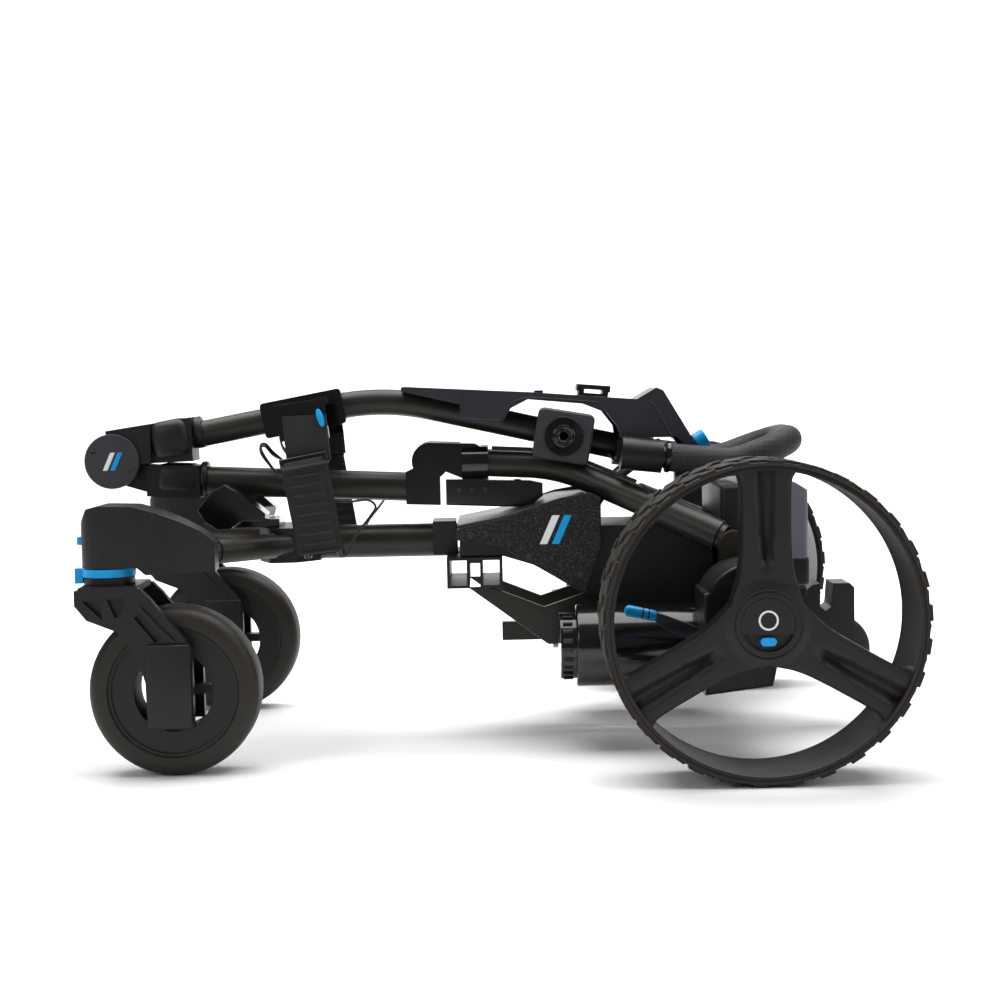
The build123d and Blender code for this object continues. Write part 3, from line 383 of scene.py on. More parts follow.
def addLugRow(bm, centre, radius, across, size, turn, offset):  # one block, repeated round the tyre
    look = tyreLook
    cube = bmesh.ops.create_cube(bm, size=1.0)["verts"]
    bmesh.ops.scale(bm, verts=cube, vec=(size[0], size[1], 2 * look["lugHeight"]))
    edges = list({edge for vert in cube for edge in vert.link_edges})
    block = bmesh.ops.bevel(bm, geom=edges, offset=look["lugEdge"], segments=1, profile=0.5, affect="EDGES",
                            material=-1)["verts"]
    bmesh.ops.rotate(bm, verts=block, cent=(0, 0, 0), matrix=Matrix.Rotation(math.radians(turn), 3, "Z"))
    for vert in block:  # wrap the block round the tread
        angle = vert.co.x / radius
        reach = radius + vert.co.z
        vert.co = Vector((reach * math.sin(angle), vert.co.y + across, reach * math.cos(angle)))
    bmesh.ops.rotate(bm, verts=block, cent=(0, 0, 0), matrix=Matrix.Rotation(offset, 3, "Y"))
    bmesh.ops.translate(bm, verts=block, vec=centre)
    edges = list({edge for vert in block for edge in vert.link_edges})
    faces = list({face for vert in block for face in vert.link_faces})
    count = look["lugCount"]
    bmesh.ops.spin(bm, geom=block + edges + faces, cent=centre, axis=(0, 1, 0), dvec=(0, 0, 0),
                   angle=math.tau * (count - 1) / count, steps=count - 1, use_duplicate=True)


def makeTyre(side):
    look = tyreLook
    low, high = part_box("tyre_" + side)
    centre = middleOf(low, high)
    outer = (high[0] - low[0]) / 2
    half = (high[1] - low[1]) / 2
    tread = outer - look["lugHeight"]
    foot = outer - look["rimDepth"]
    right = [(tread, half - 0.004), (tread - 0.002, half - 0.0005), (foot + 0.003, half),
             (foot, half - 0.001)]
    left = [(radius, -across) for radius, across in reversed(right)]
    bm = bmesh.new()
    spinRing(bm, left + right, centre, look["steps"])
    pitch = math.tau / look["lugCount"]
    for row in (-1, 1):
        offset = row * pitch / 4
        addLugRow(bm, centre, tread, row * look["chevronAcross"], look["chevronSize"],
                  -row * look["chevronTurn"], offset)
        addLugRow(bm, centre, tread, row * (half - look["shoulderInset"]), look["shoulderSize"],
                  0, offset + pitch / 2)
    piece = objectFrom(bm, "rearTyre_" + side)
    smoothByAngle(piece, 30)
    finishPiece(piece, "tyre_" + side, "treadRubber")


# rear rims: a barrel, a hub and three grooved spokes that flow into the hub
rimLook = dict(spokes=3, halfWidth=0.023, depth=0.027, round=0.004, inset=0.003, wall=0.0028, columns=26,
               capRadius=0.0252, hubOuter=0.038, hubDepth=0.052, boreRadius=0.0092,
               beadRadius=0.031, beadHeight=0.0011, beadWidth=0.0007,
               hubFlare=0.0105, hubFlareLength=0.011, rimFlare=0.006, rimFlareLength=0.005,
               grooveStart=0.047, grooveEnd=0.14, grooveFade=0.02, grooveDepth=0.0085,
               grooveFloor=0.0012, grooveNarrow=0.0065, grooveWide=0.0125,
               rowSteps=((19, 0.0007), (12, 0.0012), (27, 0.0032)))


def smoothStep(low, high, value):
    t = max(0.0, min(1.0, (value - low) / (high - low)))
    return t * t * (3 - 2 * t)


def spokeFace(radius, across, halfWidth):  # how far the front face lies behind the wheel's outer plane
    look = rimLook
    depth = look["inset"] * smoothStep(look["beadRadius"] + 0.001, look["hubOuter"] + 0.004, radius)
    depth += look["beadHeight"] * math.exp(-((radius - look["beadRadius"]) / look["beadWidth"]) ** 2)
    along = smoothStep(look["grooveStart"], look["grooveEnd"], radius)
    width = look["grooveNarrow"] + (look["grooveWide"] - look["grooveNarrow"]) * along
    fade = smoothStep(look["grooveStart"], look["grooveStart"] + look["grooveFade"], radius)
    depth += look["grooveDepth"] * fade * (1 - smoothStep(look["grooveFloor"], width, abs(across)))
    edge = (abs(across) - (halfWidth - look["round"])) / look["round"]
    if edge > 0 and radius > look["hubOuter"]:
        blend = smoothStep(look["hubOuter"], look["hubOuter"] + 0.012, radius)
        depth += look["round"] * blend * (1 - math.sqrt(max(0.0, 1 - min(1.0, edge) ** 2)))
    return depth


def spokeRadii(inner):  # rows from the cap out to the barrel, closest together at the hub
    look = rimLook
    (hubRows, hubStep), (footRows, footStep), (armRows, armStep) = look["rowSteps"]
    radii = [look["capRadius"] + step * hubStep for step in range(hubRows)]
    radii += [look["hubOuter"] + step * footStep for step in range(footRows)]
    radii += [radii[-1] + step * armStep for step in range(1, armRows + 1)]
    return radii + [inner - 0.002, inner + 0.001]


def addSpoke(bm, heading, inner, face, sign):  # the front of one spoke and its share of the hub
    look = rimLook
    count = look["columns"]
    columns = [math.sin(math.pi / 2 * (2 * j / count - 1)) for j in range(count + 1)]
    share = math.pi / look["spokes"]
    rows = []
    for radius in spokeRadii(inner):
        beyond = radius - look["hubOuter"]
        half = look["halfWidth"] + look["hubFlare"] * math.exp(-max(0.0, beyond) / look["hubFlareLength"])
        half += look["rimFlare"] * math.exp(-(inner - radius) / look["rimFlareLength"])
        reach = share if beyond <= 0 else min(share, math.asin(min(1.0, half / radius)))
        row = []
        for u in columns:
            angle = heading + u * reach
            depth = spokeFace(radius, radius * math.sin(u * reach), half)
            place = (radius * math.sin(angle), sign * (face - depth), radius * math.cos(angle))
            row.append(bm.verts.new(place))
        rows.append(row)
    joinRows(bm, rows)


def makeRim(side, sign):
    look = rimLook
    low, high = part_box("rim_" + side)
    centre = Vector(((low[0] + high[0]) / 2, 0, (low[2] + high[2]) / 2))
    outer = (high[0] - low[0]) / 2
    inner = outer - look["wall"]
    width = high[1] - low[1]
    face = high[1] if sign > 0 else -low[1]
    bm = bmesh.new()
    for spoke in range(look["spokes"]):
        addSpoke(bm, math.tau * spoke / look["spokes"], inner, face, sign)
    bmesh.ops.remove_doubles(bm, verts=bm.verts, dist=0.00003)
    addBack(bm, sign * (face - look["depth"]))
    bmesh.ops.translate(bm, verts=bm.verts, vec=centre)
    bmesh.ops.recalc_face_normals(bm, faces=bm.faces)
    bore, cap, back = look["boreRadius"], look["capRadius"] + 0.0006, look["hubDepth"]
    barrel = [(outer - 0.0005, 0.0005), (outer - 0.0035, 0.0), (inner - 0.0014, 0.0006),
              (inner - 0.0010, 0.004), (inner + 0.0004, 0.012), (inner, width - 0.012),
              (inner - 0.0010, width - 0.001), (outer - 0.0015, width), (outer, width - 0.002), (outer, 0.002)]
    hub = [(bore, 0.0046), (cap, 0.0046), (cap, 0.026), (0.021, 0.030), (0.019, back), (bore, back)]
    for profile, steps in ((barrel, 144), (hub, 72)):  # points of radius and depth behind the face
        spinRing(bm, [(radius, sign * (face - depth)) for radius, depth in profile], centre, steps)
    piece = objectFrom(bm, "spokedRim_" + side)
    smoothByAngle(piece, 42)
    finishPiece(piece, "rim_" + side, "wheelPlastic")


# caster tyres: solid, round-shouldered, with two shallow grooves
casterLook = dict(wall=0.023, groove=0.0012, shoulder=0.013, shoulderSteps=6, steps=96)


def makeCasterTyre(side):
    look = casterLook
    low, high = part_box("caster_tyre_" + side)
    outer = (high[0] - low[0]) / 2
    half = (high[1] - low[1]) / 2
    foot = outer - look["wall"]
    floor = outer - look["groove"]
    shoulder = look["shoulder"]
    right = [(floor, 0.0), (outer, 0.0015), (outer, 0.0065), (floor, 0.008), (outer, 0.0095)]
    for step in range(1, look["shoulderSteps"] + 1):
        angle = math.radians(90 * step / look["shoulderSteps"])
        right.append((outer - shoulder * (1 - math.cos(angle)), half - shoulder + shoulder * math.sin(angle)))
    right += [(foot + 0.004, half), (foot + 0.002, half - 0.002), (foot, half - 0.002)]
    left = [(radius, -across) for radius, across in reversed(right[1:])]
    bm = bmesh.new()
    spinRing(bm, right + left, middleOf(low, high), look["steps"])
    piece = objectFrom(bm, "casterTyre_" + side)
    smoothByAngle(piece, 40)
    finishPiece(piece, "caster_tyre_" + side, "casterRubber")


for side, sign in sides.items():
    makeTyre(side)
    makeRim(side, sign)
    makeCasterTyre(side)
print("wheels made")

# upper straps and their ribbed rubber pads, hanging on both sides
padLook = dict(ribs=9, ribHeight=0.0022, borderHeight=0.0018, border=0.085, thick=0.008, across=28, along=160,
               edge=0.0016, edgeAngle=55)
strapLook = dict(thick=0.0026, across=6, along=16, bulge=0.0015)


def mapGrid(bm, corners, side, lift):  # a unit grid moved onto four corners, lifted outwards by a rule
    topBack, topFront, footFront, footBack = corners
    for vert in bm.verts:
        u = vert.co.x + 0.5
        v = 0.5 - vert.co.y
        top = Vector(topBack).lerp(Vector(topFront), u)
        foot = Vector(footBack).lerp(Vector(footFront), u)
        place = top.lerp(foot, v)
        vert.co = Vector((place[0], side * (place[2] + lift(u, v)), place[1]))


def makeSheet(name, sign, look, corners, lift):  # a shaped grid with its thickness inwards
    bm = bmesh.new()
    bmesh.ops.create_grid(bm, x_segments=look["across"], y_segments=look["along"], size=0.5)
    mapGrid(bm, corners, sign, lift)
    if sign > 0:
        bmesh.ops.reverse_faces(bm, faces=bm.faces)
    piece = objectFrom(bm, name)
    smoothByAngle(piece, 60)
    solid = piece.modifiers.new("body", "SOLIDIFY")
    solid.thickness = look["thick"]
    solid.offset = -1
    return piece


def padRibs(u, v):  # a raised border round cross ribs
    look = padLook
    edge = min(u, 1 - u, v * 2.2, (1 - v) * 2.2)
    if edge < look["border"]:
        return look["borderHeight"] * min(1.0, edge / look["border"] * 3)
    wave = 0.5 + 0.5 * math.cos(math.tau * look["ribs"] * v)
    fade = min(1.0, (edge - look["border"]) * 9)
    return look["ribHeight"] * fade * max(0.0, wave * 2.4 - 1.4) ** 0.8


def strapBulge(u, v):
    return strapLook["bulge"] * math.sin(math.pi * v)


def makePad(word, sign, corners):
    look = padLook
    pad = makeSheet("strapPad" + word, sign, look, corners, padRibs)
    soft = pad.modifiers.new("padEdges", "BEVEL")
    soft.width = look["edge"]
    soft.segments = 3
    soft.limit_method = "ANGLE"
    soft.angle_limit = math.radians(look["edgeAngle"])
    finishPiece(pad, "strap_pads", "padRubber")


def makeStrap(word, sign, corners):
    webbing = makeSheet("webbing" + word, sign, strapLook, corners, strapBulge)
    finishPiece(webbing, "straps", "strapWebbing")


# corners at the top back, top front, foot front and foot back
padLow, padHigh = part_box("strap_pads")
padFace = padHigh[1] - 0.0022
padTop = padHigh[2] - 0.0105
padFoot = padLow[2] + 0.003
padCorners = [(padLow[0] + 0.002, padTop, padFace), (padLow[0] + 0.050, padTop + 0.0085, padFace),
              (padHigh[0] - 0.003, padFoot + 0.005, padFace), (padHigh[0] - 0.050, padFoot, padFace)]
strapLow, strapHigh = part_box("straps")
strapFace = strapHigh[1] - 0.0012
strapTop = strapHigh[2]
strapFoot = strapLow[2]
strapCorners = [(strapLow[0] + 0.002, strapTop - 0.002, strapFace),
                (strapLow[0] + 0.047, strapTop, strapFace),
                (strapHigh[0] - 0.001, strapFoot + 0.004, strapFace),
                (strapHigh[0] - 0.046, strapFoot, strapFace)]
for side, sign in sides.items():
    makePad(side.capitalize(), sign, padCorners)
    makeStrap(side.capitalize(), sign, strapCorners)
softEdgedNode("handle_grip", "gripRubber", 0.0012)
print("straps and grip made")

# generic two-stripe marks and plain rings where the real one is decorated
markLook = dict(thick=0.0003, lean=0.45, gap=0.42, width=0.26, panelSize=0.030, pinSize=0.019,
                ringRadius=0.0075, ringWidth=0.0018, ringLift=0.004)


def makeStripe(name, centre, size, shift, face, finish, node):
    look = markLook
    bm = bmesh.new()
    bmesh.ops.create_cube(bm, size=1.0)
    bmesh.ops.scale(bm, verts=bm.verts, vec=(size * look["width"], look["thick"], size))
    for vert in bm.verts:
        vert.co.x += vert.co.z * look["lean"] + shift * size * look["gap"]
    bmesh.ops.translate(bm, verts=bm.verts, vec=(centre[0], face, centre[1]))
    finishPiece(objectFrom(bm, name), node, finish, replace=False)


def makeRingMark(name, centre, face, node):
    look = markLook
    half = look["thick"] / 2
    inner = look["ringRadius"]
    outer = inner + look["ringWidth"]
    bm = bmesh.new()
    spinRing(bm, [(inner, -half), (inner, half), (outer, half), (outer, -half)],
             Vector((centre[0], face, centre[1])), 64)
    finishPiece(objectFrom(bm, name), node, "printWhite", replace=False)


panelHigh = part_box("side_panels")[1]
pinLow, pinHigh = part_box("hinge_pin")
pinMiddle = middleOf(pinLow, pinHigh)
panelCentre = (panelHigh[0] - 0.047, panelHigh[2] - 0.038)
pinCentre = (pinMiddle[0] + 0.001, pinMiddle[2])
for side, sign in sides.items():
    for shift, finish in ((-0.5, "printWhite"), (0.5, "bluePlastic")):
        makeStripe(f"panelMark_{side}_{finish}", panelCentre, markLook["panelSize"], shift,
                   sign * panelHigh[1], finish, "side_panels")
        makeStripe(f"hingeMark_{side}_{finish}", pinCentre, markLook["pinSize"], shift,
                   sign * pinHigh[1], finish, "hinge_pin")
    capLow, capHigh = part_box("hub_cap_" + side)
    axle = middleOf(*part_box("drive_axle_" + side))
    makeRingMark("hubMark_" + side, (axle[0], axle[2] + markLook["ringLift"]),
                 capLow[1] if sign < 0 else capHigh[1], "hub_cap_" + side)
print("marks made")


# small shapes that several details share
def turnedShape(bm, profile, origin, direction, steps=40):  # closed (along, radius) outline, turned
    way = Vector(direction).normalized()
    up = way.orthogonal().normalized()
    points = [bm.verts.new(Vector(origin) + along * way + radius * up) for along, radius in profile]
    loop = [bm.edges.new((points[i], points[(i + 1) % len(points)])) for i in range(len(points))]
    bmesh.ops.spin(bm, geom=points + loop, cent=origin, axis=way, dvec=(0, 0, 0), angle=math.tau, steps=steps,
                   use_merge=True)
    bmesh.ops.remove_doubles(bm, verts=bm.verts, dist=0.000005)
    bmesh.ops.recalc_face_normals(bm, faces=bm.faces)


def addTurned(name, node, finish, profile, origin, direction, steps=40):
    bm = bmesh.new()
    turnedShape(bm, profile, origin, direction, steps)
    piece = objectFrom(bm, name)
    smoothByAngle(piece, 40)
    return finishPiece(piece, node, finish, replace=False)


def addBlock(name, node, finish, size, centre, turn=0.0, edge=0.001, axis="Y"):  # a block with rounded edges
    bm = bmesh.new()
    bmesh.ops.create_cube(bm, size=1.0)
    bmesh.ops.scale(bm, verts=bm.verts, vec=size)
    bmesh.ops.bevel(bm, geom=bm.edges[:], offset=edge, segments=3, profile=0.5, affect="EDGES")
    bmesh.ops.rotate(bm, verts=bm.verts, cent=(0, 0, 0), matrix=Matrix.Rotation(math.radians(turn), 3, axis))
    bmesh.ops.translate(bm, verts=bm.verts, vec=centre)
    piece = objectFrom(bm, name)
    smoothByAngle(piece, 50)
    return finishPiece(piece, node, finish, replace=False)


def smoothPath(points, steps=8):  # a soft line through the given points
    ends = [2 * Vector(points[0]) - Vector(points[1])] + [Vector(p) for p in points]
    ends.append(2 * Vector(points[-1]) - Vector(points[-2]))
    line = []
    for i in range(1, len(ends) - 2):
        before, start, stop, after = ends[i - 1:i + 3]
        slope = stop - before
        bend = 2 * before - 5 * start + 4 * stop - after
        twist = 3 * start - before - 3 * stop + after
        for step in range(steps):
            t = step / steps
            line.append(0.5 * (2 * start + slope * t + bend * t ** 2 + twist * t ** 3))
    line.append(Vector(points[-1]))
    return line


def addWire(name, node, finish, points, radius, facets=12):  # a round wire along a soft line
    line = smoothPath(points)
    bm = bmesh.new()
    rings = []
    up = (line[1] - line[0]).orthogonal().normalized()
    for i, place in enumerate(line):
        way = (line[min(i + 1, len(line) - 1)] - line[max(i - 1, 0)]).normalized()
        up = (up - way * up.dot(way)).normalized()
        out = way.cross(up)
        ring = []
        for k in range(facets):
            angle = math.tau * k / facets
            ring.append(bm.verts.new(place + radius * (math.cos(angle) * up + math.sin(angle) * out)))
        rings.append(ring)
    joinRows(bm, rings, closed=True)
    bm.faces.new(rings[0][::-1])
    bm.faces.new(rings[-1])
    bmesh.ops.recalc_face_normals(bm, faces=bm.faces)
    piece = objectFrom(bm, name)
    smoothByAngle(piece, 50)
    return finishPiece(piece, node, finish, replace=False)


# brake lever: blue ribbed tip, a tapering arm and its pivot boss
leverLook = dict(start=(0.1400, -0.1985, 0.1565), way=(0.977, 0.0, -0.215), tipRadius=0.0056, tipLength=0.031,
                 grooveStarts=(0.0165, 0.0225), ribPlaces=(0.0176, 0.0236), armThick=0.0050, armEdge=0.0012,
                 pivot=(0.232, 0.122), bossRadius=0.0095, pinRadius=0.0040,
                 arm=((0.1685, 0.1465), (0.1690, 0.1545), (0.1760, 0.1520), (0.2320, 0.1305),
                      (0.2400, 0.1250), (0.2400, 0.1180), (0.2320, 0.1135), (0.1740, 0.1400)))


def leverTipProfile(radius, length):  # a rounded nose and two grooves round the tip
    profile = [(0.0, 0.0), (0.0, radius * 0.5), (0.0012, radius * 0.8), (0.0035, radius)]
    for start in leverLook["grooveStarts"]:
        profile += [(start, radius), (start + 0.0005, radius * 0.86), (start + 0.0017, radius * 0.86),
                    (start + 0.0022, radius)]
    return profile + [(length - 0.001, radius * 0.94), (length, radius * 0.8), (length, 0.0)]


def makeLever():
    look = leverLook
    node = "brake_lever"
    tip = look["tipRadius"]
    boss, pin = look["bossRadius"], look["pinRadius"]
    start, way = look["start"], look["way"]
    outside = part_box(node)[1][1]
    x, z = look["pivot"]
    addTurned("leverTip", node, "bluePlastic", leverTipProfile(tip, look["tipLength"]), start, way)
    for offset in look["ribPlaces"]:
        addTurned(f"leverRib_{round(offset * 10000)}", node, "glossBlack",
                  [(-0.0006, tip * 0.8), (-0.0006, tip * 0.97), (0.0006, tip * 0.97), (0.0006, tip * 0.8)],
                  Vector(start) + offset * Vector(way), way)
    bm = bmesh.new()
    bm.faces.new([bm.verts.new((px, start[1] - look["armThick"] / 2, pz)) for px, pz in look["arm"]])
    addBack(bm, start[1] + look["armThick"] / 2)
    bmesh.ops.recalc_face_normals(bm, faces=bm.faces)
    bmesh.ops.bevel(bm, geom=bm.edges[:], offset=look["armEdge"], segments=3, profile=0.5, affect="EDGES")
    turnedShape(bm, [(0.0, 0.0), (0.0, boss - 0.0007), (0.0008, boss), (0.0072, boss),
                     (0.0080, boss - 0.0007), (0.0080, 0.0)], (x, outside - 0.0090, z), (0, -1, 0), 40)
    turnedShape(bm, [(0.0, 0.0), (0.0, pin), (0.0115, pin), (0.0120, pin - 0.0006), (0.0120, 0.0)],
                (x, outside, z), (0, -1, 0), 24)
    piece = objectFrom(bm, "leverArm")
    smoothByAngle(piece, 40)
    finishPiece(piece, node, "coverPlastic")


makeLever()

# accessory mount: radial teeth, a rounded inner ring and a six-sided socket
mountLook = dict(centre=(0.09, 0.32274), teeth=60, toothInner=0.0128, toothOuter=0.0202, toothHeight=0.0010,
                 toothSlope=0.0006, toothDepth=0.001,
                 ring=((0.004, 0.0082), (-0.0008, 0.0084), (-0.0014, 0.0092), (-0.0014, 0.0108),
                       (-0.0006, 0.0118), (0.004, 0.0122)),
                 socket=((0.010, 0.0052), (0.0012, 0.0052), (0.0004, 0.0062), (0.0010, 0.0072),
                         (0.010, 0.0076)))
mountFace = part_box("accessory_mount")[0][1]
mountOrigin = (mountLook["centre"][0], mountFace, mountLook["centre"][1])


def makeToothedRing():
    look = mountLook
    inner, outer, slope = look["toothInner"], look["toothOuter"], look["toothSlope"]
    steps = look["teeth"] * 2
    bm = bmesh.new()
    rows = []
    for radius in (inner - slope, inner, outer, outer + slope):
        row = []
        for step in range(steps):
            angle = math.tau * step / steps
            raised = step % 2 == 0 and inner <= radius <= outer
            lift = look["toothHeight"] if raised else 0.0
            row.append(bm.verts.new((mountOrigin[0] + radius * math.cos(angle), mountFace - 0.0001 - lift,
                                     mountOrigin[2] + radius * math.sin(angle))))
        rows.append(row)
    joinRows(bm, rows, closed=True)
    addBack(bm, mountFace + look["toothDepth"])
    bmesh.ops.recalc_face_normals(bm, faces=bm.faces)
    piece = objectFrom(bm, "toothedRing")
    smoothByAngle(piece, 20)
    finishPiece(piece, "accessory_mount", "mouldedBlack", replace=False)


makeToothedRing()
addTurned("mountInnerRing", "accessory_mount", "glossBlack", mountLook["ring"], mountOrigin, (0, 1, 0), 64)
addTurned("mountSocket", "accessory_mount", "screwBlack", mountLook["socket"], mountOrigin, (0, 1, 0), 6)

# hinge discs: one screw hole and one small dot on each side
hingeLook = dict(
    screw=((0.0, 0.0), (0.0003, 0.0), (0.0003, 0.0022), (0.0005, 0.0026), (0.0003, 0.0031), (0.0, 0.0032)),
    screwPlace=(-0.0195, 0.0105), dot=((0.0, 0.0), (0.0003, 0.0), (0.0003, 0.0010), (0.0, 0.0011)),
    dotPlace=(0.0185, -0.0115))
for side, sign in sides.items():
    for part, word, steps in (("screw", "hingeScrew_", 32), ("dot", "hingeDot_", 20)):
        x, z = hingeLook[part + "Place"]
        addTurned(word + side, "hinge_pin", "glossBlack", hingeLook[part],
                  (pinMiddle[0] + x, sign * pinHigh[1], pinMiddle[2] + z), (0, sign, 0), steps)
print("lever, mount and hinge details made")

# tube collars: a slim rolled ring wherever a moulding ends on a tube
collars = {
    "handleFront": dict(node="upper_hinge_socket", place=(-0.3065, 0, 0.3325), way=(0.984, 0, 0.177),
                        radius=0.0172, width=0.0095),
    "mastFront": dict(node="lower_hinge_socket", place=(-0.3005, 0, 0.2830), way=(0.9989, 0, -0.047),
                      radius=0.0190, width=0.0070),
}
for name, look in collars.items():
    radius, width = look["radius"], look["width"]
    addTurned(name + "Collar", look["node"], "mouldedBlack",
              [(0.0, radius - 0.005), (0.0, radius - 0.001), (0.0012, radius), (width - 0.0012, radius),
               (width, radius - 0.001), (width, radius - 0.005)], look["place"], look["way"], 56)

# hinge sleeves: a rounded block over each square socket
sleeves = {
    "lowerSleeve": dict(node="lower_hinge_socket", size=(0.047, 0.0436, 0.0325), place=(-0.3245, 0, 0.2842),
                        turn=2.7, edge=0.0095),
    "upperSleeve": dict(node="upper_hinge_socket", size=(0.044, 0.0590, 0.0415), place=(-0.3300, 0, 0.3270),
                        turn=-10.2, edge=0.0120),
}
for name, look in sleeves.items():
    addBlock(name, look["node"], "mouldedBlack", look["size"], look["place"], look["turn"], look["edge"])

# strap fittings on both sides: buckle, blue catch, cord loops, hook cord and two studs below the pad
fittingLook = dict(
    bucklePlace=(-0.1795, 0.3035), buckleTurn=-10, frameSize=(0.050, 0.005, 0.013),
    barSize=(0.040, 0.0022, 0.0032), cordRadius=0.0013, loopGap=0.0024,
    catchRadius=0.0034, catchHalf=0.0095, catchPlace=(-0.1615, 0.0975, 0.3480),
    hookCord=((-0.150, 0.0895, 0.262), (-0.134, 0.090, 0.2605), (-0.116, 0.089, 0.262),
              (-0.1075, 0.089, 0.255), (-0.114, 0.090, 0.244), (-0.128, 0.091, 0.226),
              (-0.1375, 0.091, 0.207), (-0.146, 0.090, 0.2045)),
    stud=((0.0, 0.0), (0.0, 0.0042), (0.004, 0.0042), (0.0056, 0.0032), (0.006, 0.0)),
    studPlaces=((-0.178, 0.2090), (-0.1440, 0.2110)), studAcross=0.094)


def makeBuckle(word, sign):
    look = fittingLook
    x, z = look["bucklePlace"]
    addBlock("buckleFrame" + word, "strap_pads", "glossBlack", look["frameSize"],
             (x, sign * (padHigh[1] - 0.0030), z), look["buckleTurn"], 0.0018)
    addBlock("buckleBar" + word, "strap_pads", "coverPlastic", look["barSize"],
             (x, sign * (padHigh[1] - 0.0005), z), look["buckleTurn"], 0.0010)


def makeCatch(word, sign):
    look = fittingLook
    x, y, z = look["catchPlace"]
    half, radius = look["catchHalf"], look["catchRadius"]
    addTurned("catch" + word, "upper_cradle", "bluePlastic",
              [(-half, 0.0), (-half * 0.92, radius * 0.55), (-half * 0.6, radius * 0.9), (0.0, radius * 1.05),
               (half * 0.6, radius * 0.9), (half * 0.92, radius * 0.55), (half, 0.0)],
              (x, sign * y, z), (0.28, 0.0, -0.96), 32)


def makeCords(word, sign):  # two nested loops and one cord to the hook
    look = fittingLook
    for name, gap in (("Outer", 0.0), ("Inner", look["loopGap"])):
        loop = ((-0.205, 0.0895, 0.286), (-0.213, 0.091, 0.297), (-0.2225, 0.091, 0.310 + gap),
                (-0.2245, 0.090, 0.318 + gap), (-0.2195, 0.090, 0.3195 + gap), (-0.212, 0.090, 0.311 + gap),
                (-0.203, 0.0895, 0.3055))
        addWire("cordLoop" + name + word, "strap_pads", "glossBlack",
                [(x, sign * (y - gap), z) for x, y, z in loop], look["cordRadius"])
    addWire("hookCord" + word, "strap_pads", "strapWebbing",
            [(x, sign * y, z) for x, y, z in look["hookCord"]], look["cordRadius"])


for side, sign in sides.items():
    word = side.capitalize()
    makeBuckle(word, sign)
    makeCatch(word, sign)
    makeCords(word, sign)
    for x, z in fittingLook["studPlaces"]:
        addTurned(f"padStud{word}_{round(-x * 1000)}", "strap_pads", "glossBlack", fittingLook["stud"],
                  (x, sign * fittingLook["studAcross"], z), (0, 0, -1), 24)
print("strap fittings made")

# caster forks: a raised pad over the axle and a rib beside each pocket
forkLook = dict(padSize=(0.043, 0.0050, 0.082), padPlace=(-0.3035, 0.0925), padEdge=0.0022, ribRadius=0.0012,
                rib=((-0.330, 0.170), (-0.312, 0.150), (-0.298, 0.136)), ribLift=0.0002)
for side in sides:
    node = "caster_fork_" + side
    forkLow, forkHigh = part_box(node)
    padX, padZ = forkLook["padPlace"]
    for name, face, outward in (("High", forkHigh[1], 1), ("Low", forkLow[1], -1)):
        addBlock(f"forkPad{name}_{side}", node, "mouldedBlack", forkLook["padSize"], (padX, face, padZ), 0,
                 forkLook["padEdge"])
        addWire(f"forkRib{name}_{side}", node, "mouldedBlack",
                [(x, face + outward * forkLook["ribLift"], z) for x, z in forkLook["rib"]],
                forkLook["ribRadius"])

# console: a moulded bead along the arch and a seam bead on the rear hood, on each side
beadLook = dict(across=0.0398, archRadius=0.0011, hoodRadius=0.0010,
                arch=((-0.016, 0.3690), (-0.0165, 0.3460), (-0.012, 0.3430), (0.020, 0.3405),
                      (0.0255, 0.3430), (0.0315, 0.3535), (0.041, 0.3610), (0.058, 0.3635), (0.095, 0.3605),
                      (0.126, 0.3575)),
                hood=((0.181, 0.3575), (0.187, 0.3540), (0.197, 0.3350), (0.206, 0.3180)))
for side, sign in sides.items():
    for word in ("arch", "hood"):
        addWire(f"{word}Bead_{side}", "console_cover", "coverPlastic",
                [(x, sign * beadLook["across"], z) for x, z in beadLook[word]], beadLook[word + "Radius"])

# two thin guide rods below the console
rodLook = dict(radius=0.0012, places={"near": -0.036, "far": -0.024},
               line=((0.138, 0.3020), (0.148, 0.2930), (0.160, 0.2870)))
for word, across in rodLook["places"].items():
    addWire("guideRod_" + word, "console_base", "screwBlack",
            [(x, across, z) for x, z in rodLook["line"]], rodLook["radius"])

# grip: a plain band before the dotted part on each side
bandLook = dict(place=(0.1965, 0.057, 0.2990), way=(0.9939, 0, -0.1104),
                profile=((0.0, 0.0130), (0.0, 0.0158), (0.0008, 0.0165), (0.0040, 0.0165), (0.0048, 0.0158),
                         (0.0048, 0.0130)))
for side, sign in sides.items():
    x, y, z = bandLook["place"]
    addTurned("gripBand_" + side, "handle_grip", "glossBlack", bandLook["profile"], (x, sign * y, z),
              bandLook["way"], 48)

# battery: darker lower band and front block, and grip ribs on the rear face
batteryLook = dict(grow=0.002, bandHeight=0.030, bandLift=0.0165, bandEdge=0.004,
                   ribs=5, ribSize=(0.0022, 0.070, 0.0035), ribStart=0.060, ribPitch=0.008, ribEdge=0.0008,
                   frontDepth=0.026, frontHeight=0.096, frontX=0.0122, frontLift=0.0600, frontEdge=0.005)


